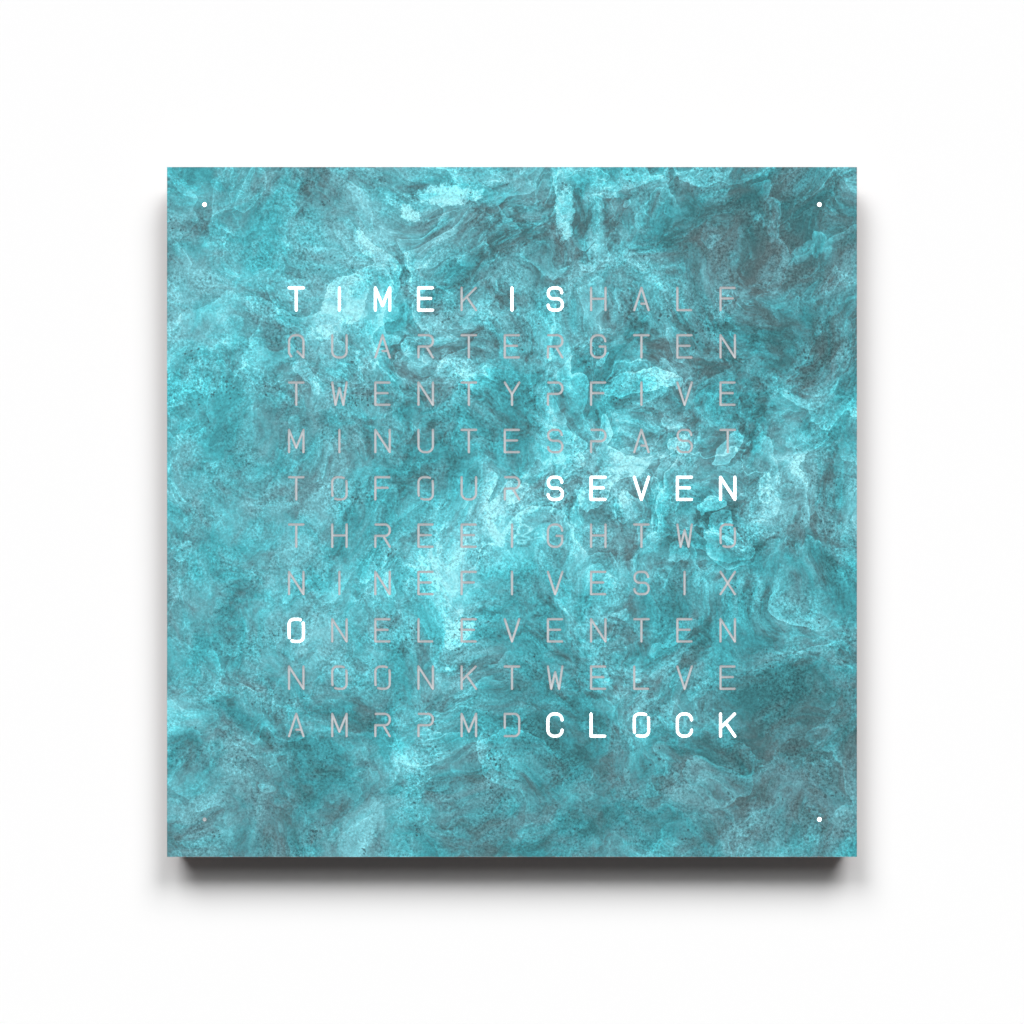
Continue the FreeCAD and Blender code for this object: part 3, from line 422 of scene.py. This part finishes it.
def opalAcrylic():
    # Cast opal acrylic: milky, satin, and glowing evenly where the lamps behind it are on; the unlit cells
    # get a weaker painted glow.
    material, tree, place = newMaterial("acrylicOpalCast")
    lit = litMask(tree, place)
    # Glow: full where a word is lit, as its lamps shine through; in the unlit cells a weaker painted glow
    # for stray light.
    strength = addNode(tree, "MapRange", "Result", {
        "Value": lit, "To Min": diffuser["idleStrength"], "To Max": diffuser["litStrength"]})
    glow = addNode(tree, "Mix", "Result", {
        "Factor": lit, "A": hexColour(diffuser["idleTone"]), "B": hexColour(diffuser["litTone"])},
        data_type="RGBA")
    cloud = addNode(tree, "TexNoise", "Fac", {
        "Vector": place, "Scale": 1 / (diffuser["cloud"] * mm), "Detail": 3.0})
    milk = addNode(tree, "ValToRGB", "Color", {"Fac": cloud})
    setRamp(milk, diffuser["milk"])
    satin = addNode(tree, "TexNoise", "Fac", {"Vector": place, "Scale": 1 / (diffuser["satin"] * mm)})
    smooth, dull = diffuser["roughness"]
    rough = addNode(tree, "MapRange", "Result", {"Value": satin, "To Min": smooth, "To Max": dull})
    finishMaterial(tree, addNode(tree, "BsdfPrincipled", 0, {
        "Base Color": milk, "Roughness": rough, "IOR": diffuser["ior"], "Emission Color": glow,
        "Emission Strength": strength}))
    return material


dress(opalAcrylic(), "diffuser_sheet")
print("diffuser dressed")


# Finishes of the other pieces

# Each has two tones, the size of its clouds and of its grain in mm, how the grain is stretched, the least
# and most roughness, how metallic it is, the height of its grain in mm, and the tone of its worn edges.
finishes = {
    # Board of wood fibre, sprayed matt black: a fine orange peel, with paler rubbed edges.
    "boardFibreLacqueredBlack": {
        "nodes": ["housing_frame"], "tones": ("#161617", "#1F1F20"), "cloud": 30, "grain": 0.9,
        "stretch": (1, 1, 1), "roughness": (0.5, 0.68), "metallic": 0.0, "relief": 0.02, "worn": "#3A3837"},
    # Aluminium sheet, brushed across and anodised black: long fine lines that catch the light.
    "aluminiumAnodisedBrushed": {
        "nodes": ["back_panel"], "tones": ("#26272A", "#34363A"), "cloud": 70, "grain": 0.5,
        "stretch": (0.012, 1, 1), "roughness": (0.34, 0.5), "metallic": 0.85, "relief": 0.006,
        "worn": "#6E7074"},
    # Pressed steel, zinc plated: a cloudy bluish spangle.
    "steelZincPlated": {
        "nodes": ["hanger_plates", "catch_strips"], "tones": ("#9A9FA3", "#C6CACC"), "cloud": 5,
        "grain": 0.4, "stretch": (1, 1, 1), "roughness": (0.28, 0.42), "metallic": 1.0, "relief": 0.006,
        "worn": "#DADCDD"},
    # Turned aluminium, bare: fine bright rings round the rivet.
    "aluminiumTurned": {
        "nodes": ["hanger_rivets"], "tones": ("#AEB1B3", "#CED0D1"), "cloud": 2, "grain": 0.25,
        "stretch": (1, 1, 1), "roughness": (0.3, 0.45), "metallic": 1.0, "relief": 0.006, "worn": "#E2E3E4"},
    # Sintered magnet, nickel plated: warm silver, smooth.
    "magnetNickelPlated": {
        "nodes": ["cover_magnets"], "tones": ("#B9B3A6", "#D6D1C6"), "cloud": 2.5, "grain": 0.3,
        "stretch": (1, 1, 1), "roughness": (0.16, 0.3), "metallic": 1.0, "relief": 0.003, "worn": "#E6E2D8"},
    # Foamed board, routed: soft white with fine cells.
    "boardFoamRouted": {
        "nodes": ["light_grid"], "tones": ("#E4E3DE", "#F2F1EE"), "cloud": 25, "grain": 0.35,
        "stretch": (1, 1, 1), "roughness": (0.62, 0.8), "metallic": 0.0, "relief": 0.03, "worn": "#F7F6F4"},
    # Moulded epoxy of a chip: near black, finely matt.
    "epoxyMoulded": {
        "nodes": ["led_drivers", "processor", "clock_chip", "light_sensor"], "tones": ("#1B1B1D", "#262628"),
        "cloud": 3, "grain": 0.12, "stretch": (1, 1, 1), "roughness": (0.5, 0.64), "metallic": 0.0,
        "relief": 0.012, "worn": "#3B3B3E"},
    # Turned brass: warm yellow with tool lines.
    "brassTurned": {
        "nodes": ["standoffs", "power_socket_pin"], "tones": ("#B08D45", "#D0AE63"), "cloud": 3,
        "grain": 0.2, "stretch": (1, 6, 1), "roughness": (0.2, 0.36), "metallic": 1.0, "relief": 0.006,
        "worn": "#E3C884"},
    # Moulded nylon: black, with the mould's fine spark texture.
    "nylonMoulded": {
        "nodes": ["header_plug", "header_socket", "coin_cell_holder", "power_socket", "button_switches",
                  "antenna_clips", "radio_connector"],
        "tones": ("#1A1A1A", "#242424"), "cloud": 8, "grain": 0.25, "stretch": (1, 1, 1),
        "roughness": (0.4, 0.56), "metallic": 0.0, "relief": 0.012, "worn": "#3C3C3C"},
    # Drawn steel can of the coin cell: bright, with fine rubbing marks.
    "steelDrawnBright": {
        "nodes": ["coin_cell"], "tones": ("#A9A8A3", "#C9C8C3"), "cloud": 6, "grain": 0.3,
        "stretch": (0.1, 1, 1), "roughness": (0.2, 0.34), "metallic": 1.0, "relief": 0.003,
        "worn": "#DEDDD9"},
    # Moulded plastic of the push buttons: dark grey, satin, polished by fingers.
    "plasticMouldedSatin": {
        "nodes": ["mode_button", "hour_button", "minute_button"], "tones": ("#3A3A3C", "#4A4A4D"),
        "cloud": 3, "grain": 0.15, "stretch": (1, 1, 1), "roughness": (0.32, 0.5), "metallic": 0.0,
        "relief": 0.008, "worn": "#66666A"},
    # Natural nylon of the plungers: milky, slightly waxy.
    "nylonNatural": {
        "nodes": ["mode_plunger", "hour_plunger", "minute_plunger"], "tones": ("#D5CFC2", "#E4DFD4"),
        "cloud": 2, "grain": 0.2, "stretch": (1, 1, 1), "roughness": (0.36, 0.5), "metallic": 0.0,
        "relief": 0.008, "worn": "#EEEBE3"},
    # Fired ferrite: charcoal, matt and a little speckled.
    "ferriteFired": {
        "nodes": ["ferrite_rod"], "tones": ("#232427", "#36383B"), "cloud": 1.2, "grain": 0.2,
        "stretch": (1, 1, 1), "roughness": (0.5, 0.7), "metallic": 0.0, "relief": 0.02, "worn": "#55575A"},
    # Flat cable in grey plastic, ribbed lengthwise where its wires lie.
    "cableFlatRibbed": {
        "nodes": ["radio_cable"], "tones": ("#7F8184", "#9A9C9F"), "cloud": 6, "grain": 1.0,
        "stretch": (1, 1, 0.01), "roughness": (0.42, 0.55), "metallic": 0.0, "relief": 0.12,
        "worn": "#B0B2B4"},
}
finishEdges = {"reach": 0.35, "start": 0.45, "full": 0.3, "share": 0.6}   # mm, grain values, how much shows


def makeFinish(name, look):
    # Cloudy tones, a grain that also lifts the surface, and worn edges.
    material, tree, place = newMaterial(name)
    cloud = addNode(tree, "TexNoise", "Fac", {
        "Vector": place, "Scale": 1 / (look["cloud"] * mm), "Detail": 5.0})
    colour = addNode(tree, "ValToRGB", "Color", {"Fac": cloud})
    setRamp(colour, [(0.35, look["tones"][0]), (0.65, look["tones"][1])])
    drawn = addNode(tree, "VectorMath", 0, {0: place, 1: look["stretch"]}, operation="MULTIPLY")
    grain = addNode(tree, "TexNoise", "Fac", {
        "Vector": drawn, "Scale": 1 / (look["grain"] * mm), "Detail": 3.0, "Roughness": 0.6})
    shade = addNode(tree, "MapRange", "Result", {
        "Value": grain, "From Min": 0.3, "From Max": 0.7, "To Min": 0.8, "To Max": 1.2})
    colour = addNode(tree, "VectorMath", 0, {0: colour, "Scale": shade}, operation="SCALE")
    flat = addNode(tree, "NewGeometry", "True Normal")
    rounded = addNode(tree, "Bevel", "Normal", {"Radius": finishEdges["reach"] * mm, "Normal": flat},
                      samples=2)
    alike = addNode(tree, "VectorMath", "Value", {0: flat, 1: rounded}, operation="DOT_PRODUCT")
    rubbed = addNode(tree, "Math", 0, {0: alike, 1: grain}, operation="MULTIPLY")
    wear = addNode(tree, "MapRange", "Result", {
        "Value": rubbed, "From Min": finishEdges["start"], "From Max": finishEdges["full"],
        "To Max": finishEdges["share"]})
    colour = addNode(tree, "Mix", "Result", {"Factor": wear, "A": colour, "B": hexColour(look["worn"])},
                     data_type="RGBA")
    low, high = look["roughness"]
    rough = addNode(tree, "MapRange", "Result", {
        "Value": cloud, "From Min": 0.3, "From Max": 0.7, "To Min": low, "To Max": high})
    lift = addNode(tree, "Bump", 0, {"Height": grain, "Strength": 0.6, "Distance": look["relief"] * mm})
    finishMaterial(tree, addNode(tree, "BsdfPrincipled", 0, {
        "Base Color": colour, "Roughness": rough, "Metallic": look["metallic"], "Normal": lift}))
    return material


for name, look in finishes.items():
    dress(makeFinish(name, look), *look["nodes"])
print("plain finishes made:", len(finishes))


circuit = {
    "mask": ("#0D3F26", "#14583A"), "track": "#1F7A4C", "pad": "#C9B06A",   # lacquer, copper under it, gilt
    "core": "#8F9A5E",                                                      # sawn edge of the board
    "cloud": 14, "region": 22, "trackPitch": 2.6, "trackWidth": 0.35,       # mm
    "padPitch": 7.0, "padRadius": 0.5, "relief": 0.04,                      # mm
    "trackRun": 9,                                                          # track pitches along a track
    "roughness": (0.2, 0.34),
}


def circuitBoard():
    # Glass epoxy board under green lacquer: copper tracks show as paler lines, with gilt pads.
    material, tree, place = newMaterial("boardEpoxyLacqueredGreen")
    right = addNode(tree, "SeparateXYZ", "X", {0: place})
    up = addNode(tree, "SeparateXYZ", "Z", {0: place})
    flat = addNode(tree, "CombineXYZ", 0, {"X": right, "Y": up})
    cloud = addNode(tree, "TexNoise", "Fac", {
        "Vector": place, "Scale": 1 / (circuit["cloud"] * mm), "Detail": 4.0})
    mask = addNode(tree, "ValToRGB", "Color", {"Fac": cloud})
    setRamp(mask, [(0.35, circuit["mask"][0]), (0.65, circuit["mask"][1])])
    pitch = circuit["trackPitch"]
    tracks = addNode(tree, "TexBrick", "Fac", {
        "Vector": flat, "Scale": 1.0, "Mortar Size": circuit["trackWidth"] * mm / 2, "Mortar Smooth": 0.1,
        "Brick Width": circuit["trackRun"] * pitch * mm, "Row Height": pitch * mm},
        offset=0.37, squash=0.6, squash_frequency=3)
    region = addNode(tree, "TexNoise", "Fac", {
        "Vector": place, "Scale": 1 / (circuit["region"] * mm), "Detail": 0.0})
    routed = addNode(tree, "Math", 0, {0: region, 1: 0.5}, operation="GREATER_THAN")
    shown = addNode(tree, "Math", 0, {0: tracks, 1: routed}, operation="MULTIPLY")
    colour = addNode(tree, "Mix", "Result", {"Factor": shown, "A": mask, "B": hexColour(circuit["track"])},
                     data_type="RGBA")
    dots = addNode(tree, "TexVoronoi", "Distance", {
        "Vector": flat, "Scale": 1 / (circuit["padPitch"] * mm), "Randomness": 0.8})
    padSize = circuit["padRadius"] / circuit["padPitch"]
    pad = addNode(tree, "Math", 0, {0: dots, 1: padSize}, operation="LESS_THAN")
    colour = addNode(tree, "Mix", "Result", {"Factor": pad, "A": colour, "B": hexColour(circuit["pad"])},
                     data_type="RGBA")
    facing = addNode(tree, "SeparateXYZ", "Y", {0: addNode(tree, "NewGeometry", "True Normal")})
    turned = addNode(tree, "Math", 0, {0: facing}, operation="ABSOLUTE")
    broad = addNode(tree, "Math", 0, {0: turned, 1: -levelFacing}, operation="GREATER_THAN")
    colour = addNode(tree, "Mix", "Result", {"Factor": broad, "A": hexColour(circuit["core"]), "B": colour},
                     data_type="RGBA")
    raised = addNode(tree, "Math", 0, {0: shown, 1: pad}, operation="ADD")
    smooth, dull = circuit["roughness"]
    rough = addNode(tree, "MapRange", "Result", {"Value": cloud, "To Min": smooth, "To Max": dull})
    lift = addNode(tree, "Bump", 0, {"Height": raised, "Strength": 0.7, "Distance": circuit["relief"] * mm})
    metallic = addNode(tree, "Math", 0, {0: pad, 1: broad}, operation="MULTIPLY")
    finishMaterial(tree, addNode(tree, "BsdfPrincipled", 0, {
        "Base Color": colour, "Roughness": rough, "Metallic": metallic, "Normal": lift}))
    return material


dress(circuitBoard(), "led_board", "controller_board", "radio_board")


lamp = {
    "package": "#ECEAE2", "phosphor": [(0.3, "#D9B23C"), (0.7, "#F0D565")], "mottle": 0.3,   # mm
    "frame": 0.5, "window": (0.96, 0.99),   # mm of package round the window, as farFromEdge counts
    "roughness": (0.3, 0.5),
}


def lampPackage():
    # Moulded white package of a lamp: yellow phosphor in its window, which looks forward.
    material, tree, place = newMaterial("lampCeramicPhosphor")
    facing = addNode(tree, "SeparateXYZ", "Y", {0: addNode(tree, "NewGeometry", "True Normal")})
    forward = addNode(tree, "Math", 0, {0: facing, 1: levelFacing}, operation="LESS_THAN")
    inland = farFromEdge(tree, lamp["frame"])
    low, high = lamp["window"]
    window = addNode(tree, "MapRange", "Result", {"Value": inland, "From Min": low, "From Max": high})
    inWindow = addNode(tree, "Math", 0, {0: forward, 1: window}, operation="MULTIPLY")
    mottle = addNode(tree, "TexNoise", "Fac", {
        "Vector": place, "Scale": 1 / (lamp["mottle"] * mm), "Detail": 3.0})
    phosphor = addNode(tree, "ValToRGB", "Color", {"Fac": mottle})
    setRamp(phosphor, lamp["phosphor"])
    colour = addNode(tree, "Mix", "Result", {
        "Factor": inWindow, "A": hexColour(lamp["package"]), "B": phosphor}, data_type="RGBA")
    smooth, dull = lamp["roughness"]
    rough = addNode(tree, "MapRange", "Result", {"Value": mottle, "To Min": smooth, "To Max": dull})
    finishMaterial(tree, addNode(tree, "BsdfPrincipled", 0, {"Base Color": colour, "Roughness": rough}))
    return material


dress(lampPackage(), "leds")


pipe = {
    "tint": [(0.3, "#E6EEF0"), (0.7, "#F7FAFA")], "haze": 0.6,   # mm
    "roughness": (0.03, 0.12), "ior": 1.49,
}


def clearPipe():
    # Polished clear acrylic that leads room light up to the sensor.
    material, tree, place = newMaterial("acrylicClearPolished")
    haze = addNode(tree, "TexNoise", "Fac", {
        "Vector": place, "Scale": 1 / (pipe["haze"] * mm), "Detail": 4.0})
    tint = addNode(tree, "ValToRGB", "Color", {"Fac": haze})
    setRamp(tint, pipe["tint"])
    smooth, dull = pipe["roughness"]
    rough = addNode(tree, "MapRange", "Result", {"Value": haze, "To Min": smooth, "To Max": dull})
    finishMaterial(tree, addNode(tree, "BsdfPrincipled", 0, {
        "Base Color": tint, "Roughness": rough, "IOR": pipe["ior"], "Transmission Weight": 1.0}))
    return material


dress(clearPipe(), "sensor_light_pipe")


winding = {
    "wire": 0.5, "relief": 0.15, "smear": 3,   # mm
    "tones": [(0.0, "#4A1E0F"), (0.6, "#A8532F"), (1.0, "#C9744A")],
    "roughness": (0.18, 0.34), "metallic": 0.9,
}
bandsPerUnit = 0.314   # scale at which a wave texture repeats once per unit


def woundWire():
    # Enamelled copper wire, wound close: fine ridges round the rod, glossy and reddish, with painted shade
    # in the grooves between turns.
    material, tree, place = newMaterial("copperWireEnamelled")
    turns = addNode(tree, "TexWave", "Fac", {
        "Vector": place, "Scale": bandsPerUnit / (winding["wire"] * mm), "Distortion": 0.0},
        wave_type="BANDS", bands_direction="X", wave_profile="SIN")
    # Painted shade: the colour follows the ridges, darkest in the grooves between turns and lightest on
    # their crests.
    colour = addNode(tree, "ValToRGB", "Color", {"Fac": turns})
    setRamp(colour, winding["tones"])
    lift = addNode(tree, "Bump", 0, {"Height": turns, "Strength": 1.0, "Distance": winding["relief"] * mm})
    smear = addNode(tree, "TexNoise", "Fac", {"Vector": place, "Scale": 1 / (winding["smear"] * mm)})
    smooth, dull = winding["roughness"]
    rough = addNode(tree, "MapRange", "Result", {"Value": smear, "To Min": smooth, "To Max": dull})
    finishMaterial(tree, addNode(tree, "BsdfPrincipled", 0, {
        "Base Color": colour, "Roughness": rough, "Metallic": winding["metallic"], "Normal": lift}))
    return material


dress(woundWire(), "antenna_coil")
print("boards, lamps, pipe and winding dressed")

# Edges broken by hand or by the mould, from the tray down to the chips, in mm.
soften(0.5, "housing_frame")
soften(0.25, "hanger_plates", "catch_strips", "cover_magnets", "mode_button", "hour_button", "minute_button",
       "coin_cell", "coin_cell_holder", "power_socket", "button_switches", "header_plug", "header_socket")
soften(0.12, "back_panel", "processor", "clock_chip", "led_drivers", "leds", "radio_connector",
       "radio_cable", "standoffs", "hanger_rivets", "ferrite_rod", "sensor_light_pipe", "light_sensor")


# Screws: turned heads with a cross recess, and a rolled thread

screw = {
    "headDiameter": 5.6, "headHeight": 1.4, "chamfer": 0.25, "shankDiameter": 3.0,      # mm
    "recessWidth": 0.8, "recessReach": 1.5, "recessDepth": 0.8, "recessTaper": 0.7,     # mm, and a share
    "threadPitch": 0.5, "threadDepth": 0.3,                                             # mm
    "sides": 32, "turnStep": 23,   # corners of a ring, and degrees from one screw's recess to the next
    "tones": [(0.35, "#232326"), (0.65, "#3A3A3E")], "worn": "#8C8B8A", "cloud": 1.2,   # mm
    "wornReach": 0.18, "wornEdge": (0.95, 0.8, 0.5),   # mm; where wear starts and is full, and its share
    "relief": 0.01,                                    # mm
    "roughness": (0.26, 0.5),
}


def blackSteel():
    # Steel screw in black oxide: dark and oily, with bare steel showing at its edges.
    material, tree, place = newMaterial("steelBlackOxide")
    cloud = addNode(tree, "TexNoise", "Fac", {
        "Vector": place, "Scale": 1 / (screw["cloud"] * mm), "Detail": 5.0})
    colour = addNode(tree, "ValToRGB", "Color", {"Fac": cloud})
    setRamp(colour, screw["tones"])
    alike = farFromEdge(tree, screw["wornReach"])
    start, full, share = screw["wornEdge"]
    wear = addNode(tree, "MapRange", "Result", {
        "Value": alike, "From Min": start, "From Max": full, "To Max": share})
    colour = addNode(tree, "Mix", "Result", {"Factor": wear, "A": colour, "B": hexColour(screw["worn"])},
                     data_type="RGBA")
    smooth, dull = screw["roughness"]
    rough = addNode(tree, "MapRange", "Result", {"Value": cloud, "To Min": smooth, "To Max": dull})
    lift = addNode(tree, "Bump", 0, {"Height": cloud, "Strength": 0.4, "Distance": screw["relief"] * mm})
    finishMaterial(tree, addNode(tree, "BsdfPrincipled", 0, {
        "Base Color": colour, "Roughness": rough, "Metallic": 1.0, "Normal": lift}))
    return material


def addRing(mesh, radius, height):
    angles = [2 * math.pi * i / screw["sides"] for i in range(screw["sides"])]
    return [mesh.verts.new((radius * math.cos(a), radius * math.sin(a), height)) for a in angles]


def addCross(mesh, share, height):
    # Outline of the recess: two corners at each arm's end, and one between two arms.
    wide, reach = screw["recessWidth"] / 2 * share, screw["recessReach"] * share
    corners = []
    for quarter in range(4):
        turn = math.pi / 2 * quarter
        for x, y in ((reach, -wide), (reach, wide), (wide, wide)):
            corners.append(mesh.verts.new((x * math.cos(turn) - y * math.sin(turn),
                                           x * math.sin(turn) + y * math.cos(turn), height)))
    return corners


def joinLoops(mesh, first, second):
    for i in range(len(first)):
        j = (i + 1) % len(first)
        mesh.faces.new((first[i], first[j], second[j], second[i]))


def edgesOf(mesh, loop):
    pairs = zip(loop, loop[1:] + loop[:1])
    return [mesh.edges.get(pair) or mesh.edges.new(pair) for pair in pairs]


def addScrew(mesh, length):
    # One screw along +Z with its head's face at zero; gives its vertices.
    headRadius, shankRadius = screw["headDiameter"] / 2, screw["shankDiameter"] / 2
    rootRadius = shankRadius - screw["threadDepth"]
    mouth = addCross(mesh, 1.0, 0)
    floor = addCross(mesh, screw["recessTaper"], screw["recessDepth"])
    joinLoops(mesh, mouth, floor)
    mesh.faces.new(floor)
    face = addRing(mesh, headRadius - screw["chamfer"], 0)
    outline = edgesOf(mesh, face) + edgesOf(mesh, mouth)
    bmesh.ops.triangle_fill(mesh, use_beauty=True, edges=outline)
    rings = [face]
    rings.append(addRing(mesh, headRadius, screw["chamfer"]))
    rings.append(addRing(mesh, headRadius, screw["headHeight"]))
    rings.append(addRing(mesh, shankRadius, screw["headHeight"]))
    pitch = screw["threadPitch"]
    turns = int((length - screw["headHeight"] - screw["chamfer"]) / pitch)
    for turn in range(turns):
        base = screw["headHeight"] + turn * pitch
        rings.append(addRing(mesh, rootRadius, base + pitch / 2))
        rings.append(addRing(mesh, shankRadius, base + pitch))
    rings.append(addRing(mesh, rootRadius, length))
    for first, second in zip(rings, rings[1:]):
        joinLoops(mesh, first, second)
    mesh.faces.new(rings[-1])
    return mouth + floor + [vertex for ring in rings for vertex in ring]


def makeScrews(name, replaced, places, headDepth, tipDepth, material):
    # All screws of one CAD node; depths in mm from the wall, the head at the first.
    towardsWall = 1 if tipDepth < headDepth else -1
    shape = bmesh.new()
    for index, (across, up) in enumerate(places):
        turn = math.radians(screw["turnStep"] * index)
        for vertex in addScrew(shape, abs(tipDepth - headDepth)):
            x, y, along = vertex.co
            aside = x * math.cos(turn) - y * math.sin(turn)
            above = x * math.sin(turn) + y * math.cos(turn)
            vertex.co = ((across + aside) * mm, (-headDepth + towardsWall * along) * mm, (up + above) * mm)
    bmesh.ops.recalc_face_normals(shape, faces=shape.faces)
    mesh = bpy.data.meshes.new(name)
    shape.to_mesh(mesh)
    shape.free()
    mesh.materials.append(material)
    piece = bpy.data.objects.new(name, mesh)
    link(piece)
    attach(piece, "clock")
    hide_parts(replaced)


# As in the frame: mm from the middle of the clock, and mm forward from the wall.
tray = {
    "pocketHalf": 210, "shelfWidth": 8, "panelScrew": 150, "boardScrew": 82,
    "panelFront": 2, "lampBoardBack": 9.9, "cellFront": 17.5, "screwReach": 5,
}
shelfMiddle = tray["pocketHalf"] - tray["shelfWidth"] / 2


def allRound(offset):
    # Two places on each side of the shelf.
    return [place for side in (-offset, offset) for along in (-shelfMiddle, shelfMiddle)
            for place in ((side, along), (along, side))]


oxide = blackSteel()
makeScrews("panelScrewsThreaded", "panel_screws", allRound(tray["panelScrew"]), 0,
           tray["panelFront"] + tray["screwReach"], oxide)
makeScrews("boardScrewsThreaded", "board_screws", allRound(tray["boardScrew"]), tray["cellFront"],
           tray["lampBoardBack"] - tray["screwReach"], oxide)
lowest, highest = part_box("controller_screws")
screwRadius = screw["headDiameter"] / 2
outer = [lowest[0] / mm + screwRadius, highest[0] / mm - screwRadius]
upper = [lowest[2] / mm + screwRadius, highest[2] / mm - screwRadius]
makeScrews("controllerScrewsThreaded", "controller_screws", [(x, z) for x in outer for z in upper],
           -lowest[1] / mm, 0, oxide)
print("screws made")


# Backdrop: the wall behind the clock

wall = {
    "side": 6.0, "gap": 0.4,      # m, and mm behind the clock
    "lift": 0.01,                 # the light that the camera sees on its own
    "paint": "#FAFAFA", "stipple": 3, "relief": 0.1,   # mm
}


def wallPaint():
    # White matt wall paint; see-through from behind, so that the clock's back can be looked at.
    material, tree, place = newMaterial("paintWhiteMatt")
    stipple = addNode(tree, "TexNoise", "Fac", {
        "Vector": place, "Scale": 1 / (wall["stipple"] * mm), "Detail": 3.0})
    relief = addNode(tree, "Bump", 0, {"Height": stipple, "Strength": 0.1, "Distance": wall["relief"] * mm})
    paint = addNode(tree, "BsdfDiffuse", 0, {"Color": hexColour(wall["paint"]), "Normal": relief})
    glow = addNode(tree, "Emission", 0, {"Color": hexColour("#FFFFFF"), "Strength": wall["lift"]})
    dark = addNode(tree, "Emission", 0, {"Strength": 0.0})
    seen = 0.0
    for ray in ("Is Camera Ray", "Is Glossy Ray", "Is Transmission Ray"):
        isRay = addNode(tree, "LightPath", ray)
        seen = addNode(tree, "Math", 0, {0: seen, 1: isRay}, operation="MAXIMUM")
    lift = addNode(tree, "MixShader", 0, {0: seen, 1: dark, 2: glow})
    front = addNode(tree, "AddShader", 0, {0: paint, 1: lift})
    behind = addNode(tree, "NewGeometry", "Backfacing")
    clear = addNode(tree, "BsdfTransparent", 0)
    finishMaterial(tree, addNode(tree, "MixShader", 0, {0: behind, 1: front, 2: clear}))
    return material


half = wall["side"] / 2
corners = [(across * half, wall["gap"] * mm, up * half)
           for across, up in ((-1, -1), (1, -1), (1, 1), (-1, 1))]
backdropMesh = bpy.data.meshes.new("backdrop")
backdropMesh.from_pydata(corners, [], [(0, 1, 2, 3)])
backdropMesh.materials.append(wallPaint())
backdrop = bpy.data.objects.new("backdrop", backdropMesh)
link(backdrop)
backdrop.visible_shadow = False   # lets the back light reach the clock's rear
print("backdrop made")


# Light and camera

light = {
    "worldStrength": 0.047,
    "mirrored": 0.5,       # how bright the room is in a reflection
    # name, share of the wall's white, then in degrees: tilt above level, turn to the side, angle across
    "lamps": [
        ("keyMiddle", 0.247, 43.7, 0, 51),
        ("keyLeft", 0.368, 47.5, -30, 28),
        ("keyRight", 0.368, 47.5, 30, 28),
        ("backLight", 0.8, 30, 180, 60),
    ],
}
view = {"distance": 4.0, "frameWidth": 667.8, "sensor": 36.0}   # m, mm, mm

world = bpy.data.worlds.new("studio")
bpy.context.scene.world = world
world.use_nodes = True
tree = world.node_tree
tree.nodes.clear()
strength = light["worldStrength"]
for ray, share in (("Is Camera Ray", 1.0), ("Is Glossy Ray", light["mirrored"])):
    isRay = addNode(tree, "LightPath", ray)
    seen = addNode(tree, "Math", 0, {0: isRay, 1: share}, operation="MULTIPLY")
    strength = addNode(tree, "Math", 0, {0: strength, 1: seen}, operation="MAXIMUM")
sky = addNode(tree, "Background", 0, {"Color": hexColour("#FFFFFF"), "Strength": strength})
worldOutput = tree.nodes.new("ShaderNodeOutputWorld")
tree.links.new(sky, worldOutput.inputs["Surface"])


def addSun(name, share, tilt, turn, angle):
    # Sun lamp that gives a level-facing white wall this share of its white.
    sun = bpy.data.lights.new(name, "SUN")
    facing = math.cos(math.radians(tilt)) * abs(math.cos(math.radians(turn)))
    sun.energy = share * math.pi / facing
    sun.angle = math.radians(angle)
    item = bpy.data.objects.new(name, sun)
    item.rotation_euler = (math.radians(90 - tilt), 0, math.radians(turn))
    link(item)


for sunValues in light["lamps"]:
    addSun(*sunValues)

camera = bpy.data.cameras.new("camera")
camera.sensor_width = view["sensor"]
camera.lens = view["sensor"] * view["distance"] / (view["frameWidth"] * mm)
cameraObject = bpy.data.objects.new("camera", camera)
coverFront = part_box("front_cover")[0][1]
cameraObject.location = (0, coverFront - view["distance"], 0)
cameraObject.rotation_euler = (math.radians(90), 0, 0)
link(cameraObject)
bpy.context.scene.camera = cameraObject
bpy.context.scene.view_settings.view_transform = "Standard"
print("light and camera set")
